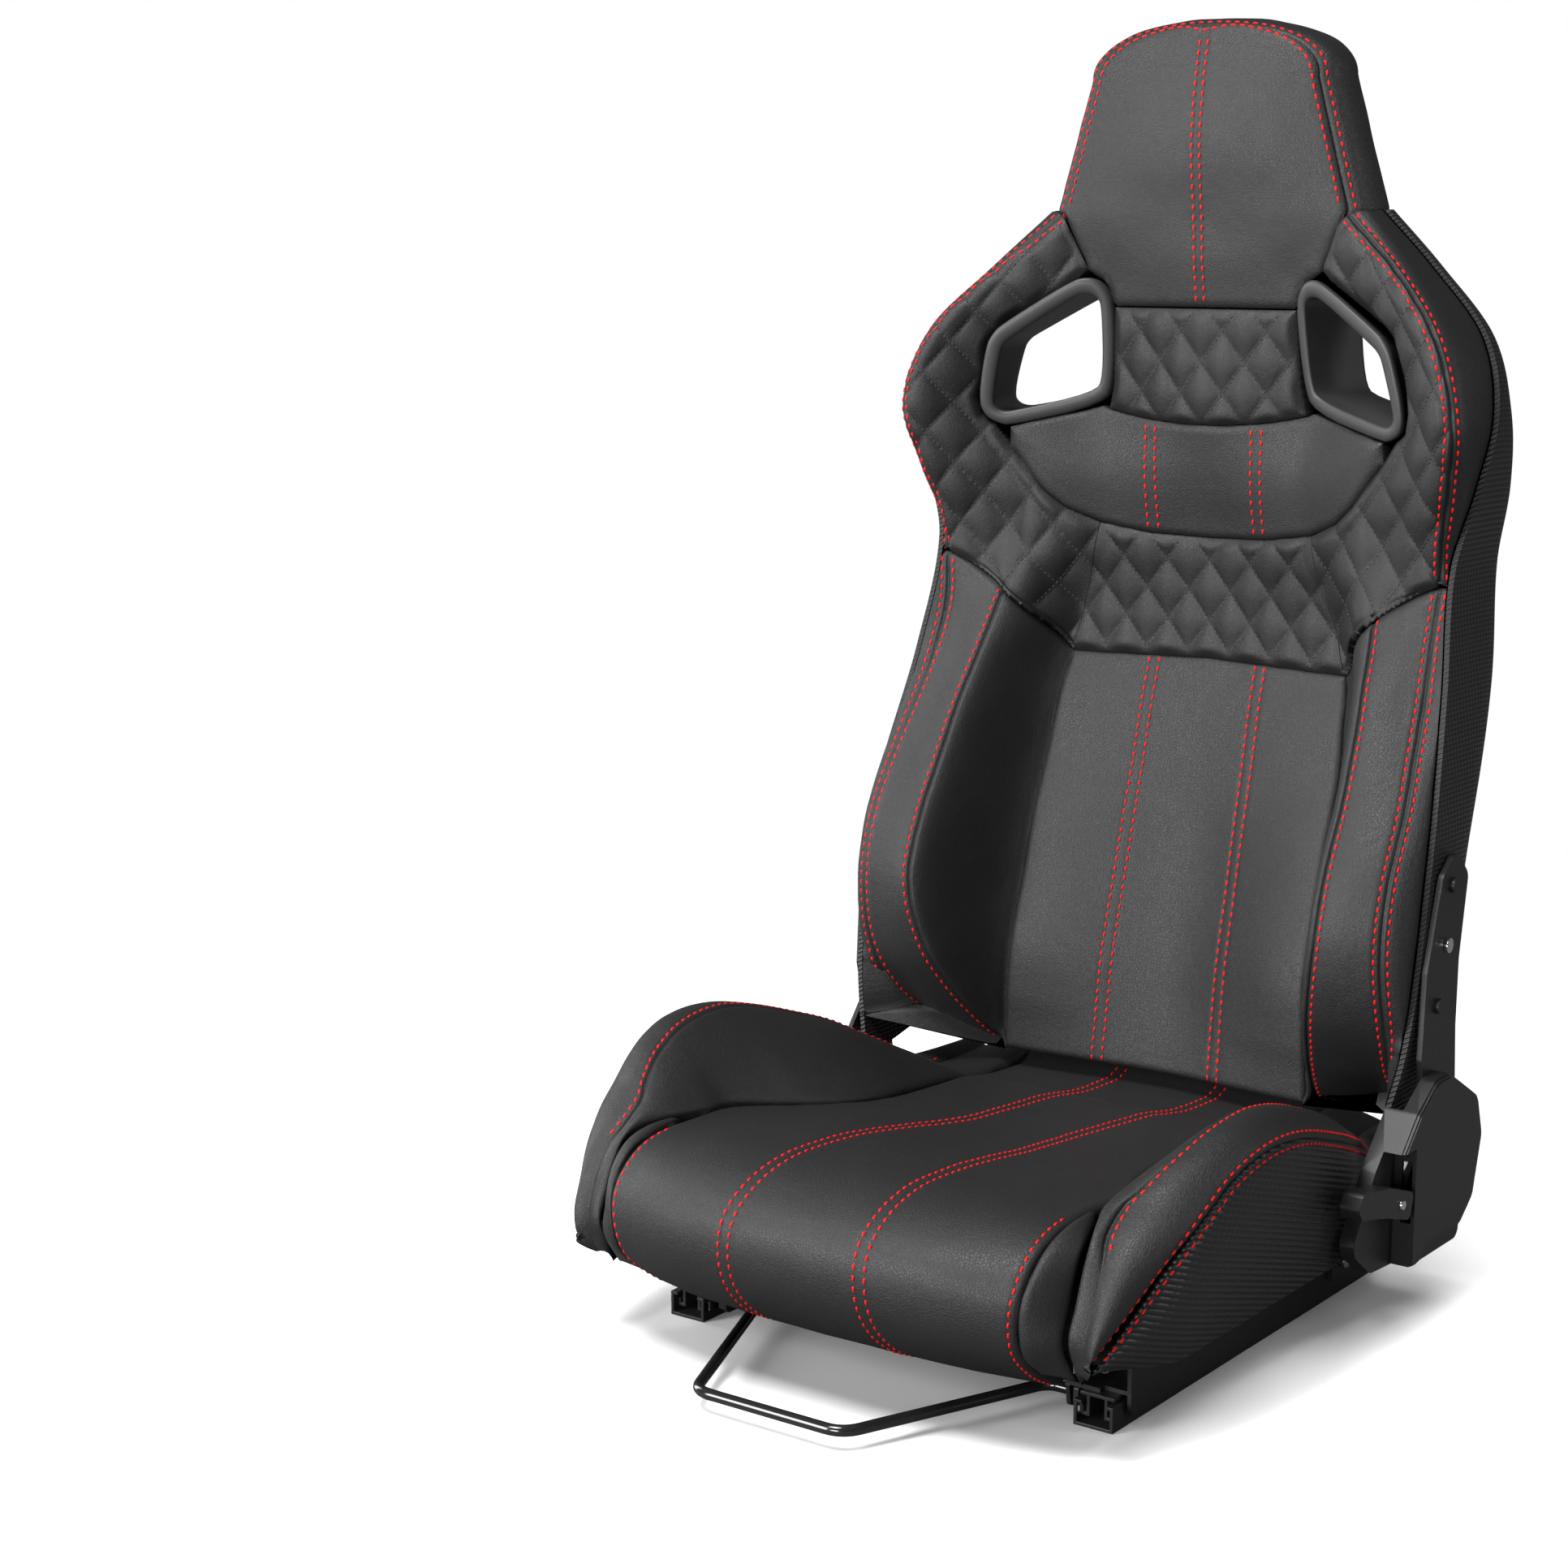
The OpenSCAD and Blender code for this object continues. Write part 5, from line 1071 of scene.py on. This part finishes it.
def thigh(side):
    L1, L2 = 62, 46
    mm = places(L1 + L2, 3.2, (0, L1, L1 + 4.5, L1 + L2 - 5, L1 + L2))
    us = np.interp(mm, [0, L1, L1 + L2], [0, 0.5, 1])
    ss = shares(590, 3.8) * 15

    def shape(u, s):
        a, c, e = three(THIGH, 1, s), three(THIGH, 4, s), three(THIGH, 7, s)
        f = ease((s - 3) / 4)[..., None]
        t = np.where(u < 0.5, 2 * u, 2 * u - 1)[..., None]
        b = 4 * t * (1 - t)
        low = mix(a, c, t) + np.array([-2, -2, 3]) * b
        high = mix(c, e, t) + mix(np.array([5, -9, 3]), np.array([3, -3, 7]), f) * b
        tail = np.clip(s - 14, 0, 1)[..., None] * np.array([0, 26, 11])
        dip = ease((s - 13) / 0.8)[..., None] * np.array([0, 0, 5])
        return np.where((u < 0.5)[..., None], low, high) + np.array([0.3, 0, 0]) + tail - dip
    P, N = grid_of(shape, us, ss, (0.2, -0.5, 1))
    ic = pick(us, 0.5)
    e = from_edges(P)
    fade = (ease((ss - 2.6) / 1.5) * ease((14.8 - ss) / 1.5))[:, None]
    crest_on = (ss > 3.2) & (ss < 14.3)
    fu, fv = row_line(P, ic, CREST_ROW)
    rows = [row_line(P, len(us) - 1, -5.0), (fu[crest_on], fv[crest_on])]
    h = uneven(P, 0.3) * ease(e / 12) - rolled(e, 3.8, 7.5) - furrow(gap(P, [P[:, ic]]), 2.0, 1.6) * fade
    P = P + N * (h - dents(P, rows))[..., None]
    a, c = P[:, 0], P[:, -1]
    f = ease((ss - 1) / 4)
    left = stack(a[:, 0], mix(2 * ss - 236, np.maximum(a[:, 1], -200), f), mix(62, 70, f))
    right = stack(np.minimum(c[:, 0] - 8, 218), mix(c[:, 1] + 15, np.maximum(c[:, 1], -200), f),
                  mix(68, 70, f))
    P, N = widened(P, N, c + np.array([-4.0, 1.5, -2.5]))
    P, N, left, right = sided(side, P, N, left, right)
    threads("seat", P, N, rows)
    pad("thigh_pad", P, left, right, SEAT_PLAIN, "thigh_bolster", 0.8, side)


def valance(side):
    us, ts = mix(0.3, 13.6, shares(480, 3.5)), 1 - shares(100, 3, 5)

    def shape(s, t):
        e = three(THIGH, 7, s) + np.array([0.3, 0, -2.2])
        low = stack(mix(206, 226, ease(s / 4)), mix(-277, 96, (s / 13.6)**1.1), 56 + 12 * (1 - ease(s / 4)))
        bulge = (t * (1 - t) * 4 * ease(1.5 - s / 8))[..., None]
        return mix(low, e, t[..., None]) + np.array([6, -4, 0]) * bulge
    P, N = grid_of(shape, us, ts, (1, -0.3, 0))
    top = runs(P, 0)
    P = P - N * (rolled(top, 3.4, 6) + furrow(top - 5, 0.7, 1.7))[..., None]
    rows = [column_line(P, 0, 6.0)]
    inner = P - N * 3
    P, N, inner = sided(side, P, N, inner)
    threads("seat", P, N, rows)
    o = mesh("side_valance" + WORD[side], *walled(P, inner))
    dress(o, "seat_base", RIBBED, "carbon_vinyl", ("valance" + WORD[side],))


def rounded_line(points, radius, steps=8):
    """A line of points whose corners are arcs."""
    p = np.array(points, float)
    out = [p[0]]
    for a, b, c, r in zip(p[:-2], p[1:-1], p[2:], radius):
        u, w = (a - b) / np.linalg.norm(a - b), (c - b) / np.linalg.norm(c - b)
        half = math.acos(np.clip(u @ w, -1, 1)) / 2
        d = r / math.tan(half)
        for k in range(steps + 1):
            t = k / steps
            A, C = b + u * d, b + w * d
            out.append((1 - t)**2 * A + 2 * t * (1 - t) * b + t**2 * C)
    out.append(p[-1])
    return fine(np.array(out), 2.0)


def bail():
    half = [(152, -182, 14), (122.5, -182, 14), (60.5, -333, 14)]
    pts = half + [(-x, y, z) for x, y, z in half[::-1]]
    v, f = tube(rounded_line(pts, (14, 20, 20, 14)), 4.0, 20)
    o = mesh("slide_handle_wire", v, f)
    dress(o, "slide_handle", GLOSS, "gloss_wire", ("slide_bail",))


back_panel()
for side in (-1, 1):
    bolster(side)
    yoke(side)
    bezel(side)
    infill(side)
    thigh(side)
    valance(side)
band()
crescent()
neck()
head()
head_back()
shell()
cushion()
bail()
sew("back", "red_stitches_back", "backrest", RED)
sew("quilt", "quilting_stitches", "backrest", GREY)
sew("seat", "red_stitches_seat", "seat_base", RED)

# ---- Metal and plastic pieces keep their CAD form ----
FINISH = (
    (RAIL, ("lower_rail_left", "lower_rail_right", "upper_rail_left", "upper_rail_right", "rail_latches")),
    (STEEL, ("side_frame_left", "side_frame_right", "front_cross_tube", "rear_cross_tube",
             "recliner_bracket", "pivot_bracket", "back_hoop", "back_cross_tubes", "recliner_arm",
             "pivot_arm", "recliner_lever")),
    (SPRING, ("seat_springs", "recliner_spring", "back_springs")), (COVER, ("recliner_cover", "lever_grip")),
    (ZINC, ("rail_bolts", "pivot_bolts", "recliner_sector", "recliner_pawl")),
    (CHROME, ("rail_balls", "arm_screws", "lever_screw")))
# Width of the bevel where it isn't the usual one, in millimetres
ROUND = {"recliner_cover": 5.0, "lever_grip": 2.0, "recliner_arm": 0.9, "pivot_arm": 0.9}
for name, mat in ((name, mat) for mat, names in FINISH for name in names):
    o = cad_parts[name]
    o.data.materials.clear()
    o.data.materials.append(mat)
    if name == "arm_screws":  # only the middle one is bright
        o.data.materials.append(STEEL)
        zs = [(o.matrix_world @ f.center).z for f in o.data.polygons]
        centre = (min(zs) + max(zs)) / 2
        for f, z in zip(o.data.polygons, zs):
            f.material_index = 0 if abs(z - centre) < 0.02 else 1
    weld = o.modifiers.new("weld", "WELD")
    weld.merge_threshold = 0.00002
    bev = o.modifiers.new("bevel", "BEVEL")
    bev.width = ROUND.get(name, 0.5) * MM
    bev.segments = 3
    bev.limit_method = "ANGLE"
    bev.angle_limit = math.radians(32)
    bev.harden_normals = True

# ---- Studio ----
scene = bpy.context.scene
scene.view_settings.view_transform = "Standard"
scene.view_settings.look = "None"


def area(name, place, aim, size, power):
    light = bpy.data.lights.new(name, "AREA")
    light.shape, light.size, light.size_y = "RECTANGLE", *size
    light.energy = power
    o = bpy.data.objects.new(name, light)
    o.location = place
    o.rotation_euler = (Vector(aim) - Vector(place)).to_track_quat("-Z", "Y").to_euler()
    scene.collection.objects.link(o)
    return o


area("key", (-1.7, -3.2, 1.15), (0, 0, 0.5), (1.3, 2.0), 112)
area("front", (0.4, -3.8, 0.7), (0, 0, 0.3), (1.6, 0.9), 75)
area("left", (-2.8, -0.2, 1.0), (0, 0, 0.5), (0.9, 2.2), 40)
area("overhead", (-0.3, -1.4, 2.9), (0, 0, 0.4), (1.2, 1.0), 95)
area("right_edge", (2.6, 0.9, 1.2), (0, 0.1, 0.5), (0.35, 1.8), 18)
top = area("floor_light", (0.2, -0.2, 3.2), (0, 0, 0), (3.0, 3.0), 185)

R = 6000
floor = mesh("floor", [(-R, -R, 0), (R, -R, 0), (R, R, 0), (-R, R, 0)], [[0, 1, 2, 3]], solid=False)
m, nt, b = nodes_of("floor", (0.9, 0.9, 0.9), 0.8, spec=0.0)
nt.nodes.remove(b)
out = nt.nodes["Material Output"]
path = new(nt, "LightPath")
# Seen by the camera it is lit near the seat and plain white further out, and it lights the seat only dimly
lit = new(nt, "BsdfDiffuse", Color=(0.95, 0.95, 0.95, 1))
dim = new(nt, "BsdfDiffuse", Color=(0.1, 0.1, 0.1, 1))
glow = new(nt, "Emission", Strength=1.0, Color=(1, 1, 1, 1))
geo = new(nt, "NewGeometry")
far = new(nt, "VectorMath", operation="LENGTH")
ring = new(nt, "MapRange", interpolation_type="SMOOTHSTEP", **{"From Min": 0.3, "From Max": 1.2})
near = new(nt, "MixShader")
seen = new(nt, "MixShader")
join_up(nt, (geo, "Position", far, 0), (far, "Value", ring, "Value"), (ring, "Result", near, "Fac"),
        (lit, 0, near, 1), (glow, 0, near, 2), (path, "Is Camera Ray", seen, "Fac"), (dim, 0, seen, 1),
        (near, 0, seen, 2), (seen, 0, out, "Surface"))
floor.data.materials.append(m)
only = bpy.data.collections.new("floor_only")
only.objects.link(floor)
top.light_linking.receiver_collection = only

world = bpy.data.worlds.new("studio")
scene.world = world
world.use_nodes = True
wt = world.node_tree
bg = wt.nodes["Background"]
bg.inputs["Color"].default_value = (1, 1, 1, 1)
wp = new(wt, "LightPath")
soft = new(wt, "Math", operation="MAXIMUM")
soft.inputs[1].default_value = 0.1
join_up(wt, (wp, "Is Camera Ray", soft, 0), (soft, "Value", bg, "Strength"))

cam = bpy.data.cameras.new("camera")
cam.lens = 68.24
cam.sensor_width = 36
cam.clip_end = 30
view = bpy.data.objects.new("camera", cam)
AZ, EL = math.radians(36.57), math.radians(10.61)
ahead = Vector((-math.sin(AZ) * math.cos(EL), math.cos(AZ) * math.cos(EL), -math.sin(EL)))
view.location = (1.1053, -1.8043, 0.7772)
view.rotation_euler = ahead.to_track_quat("-Z", "Y").to_euler()
scene.collection.objects.link(view)
scene.camera = view
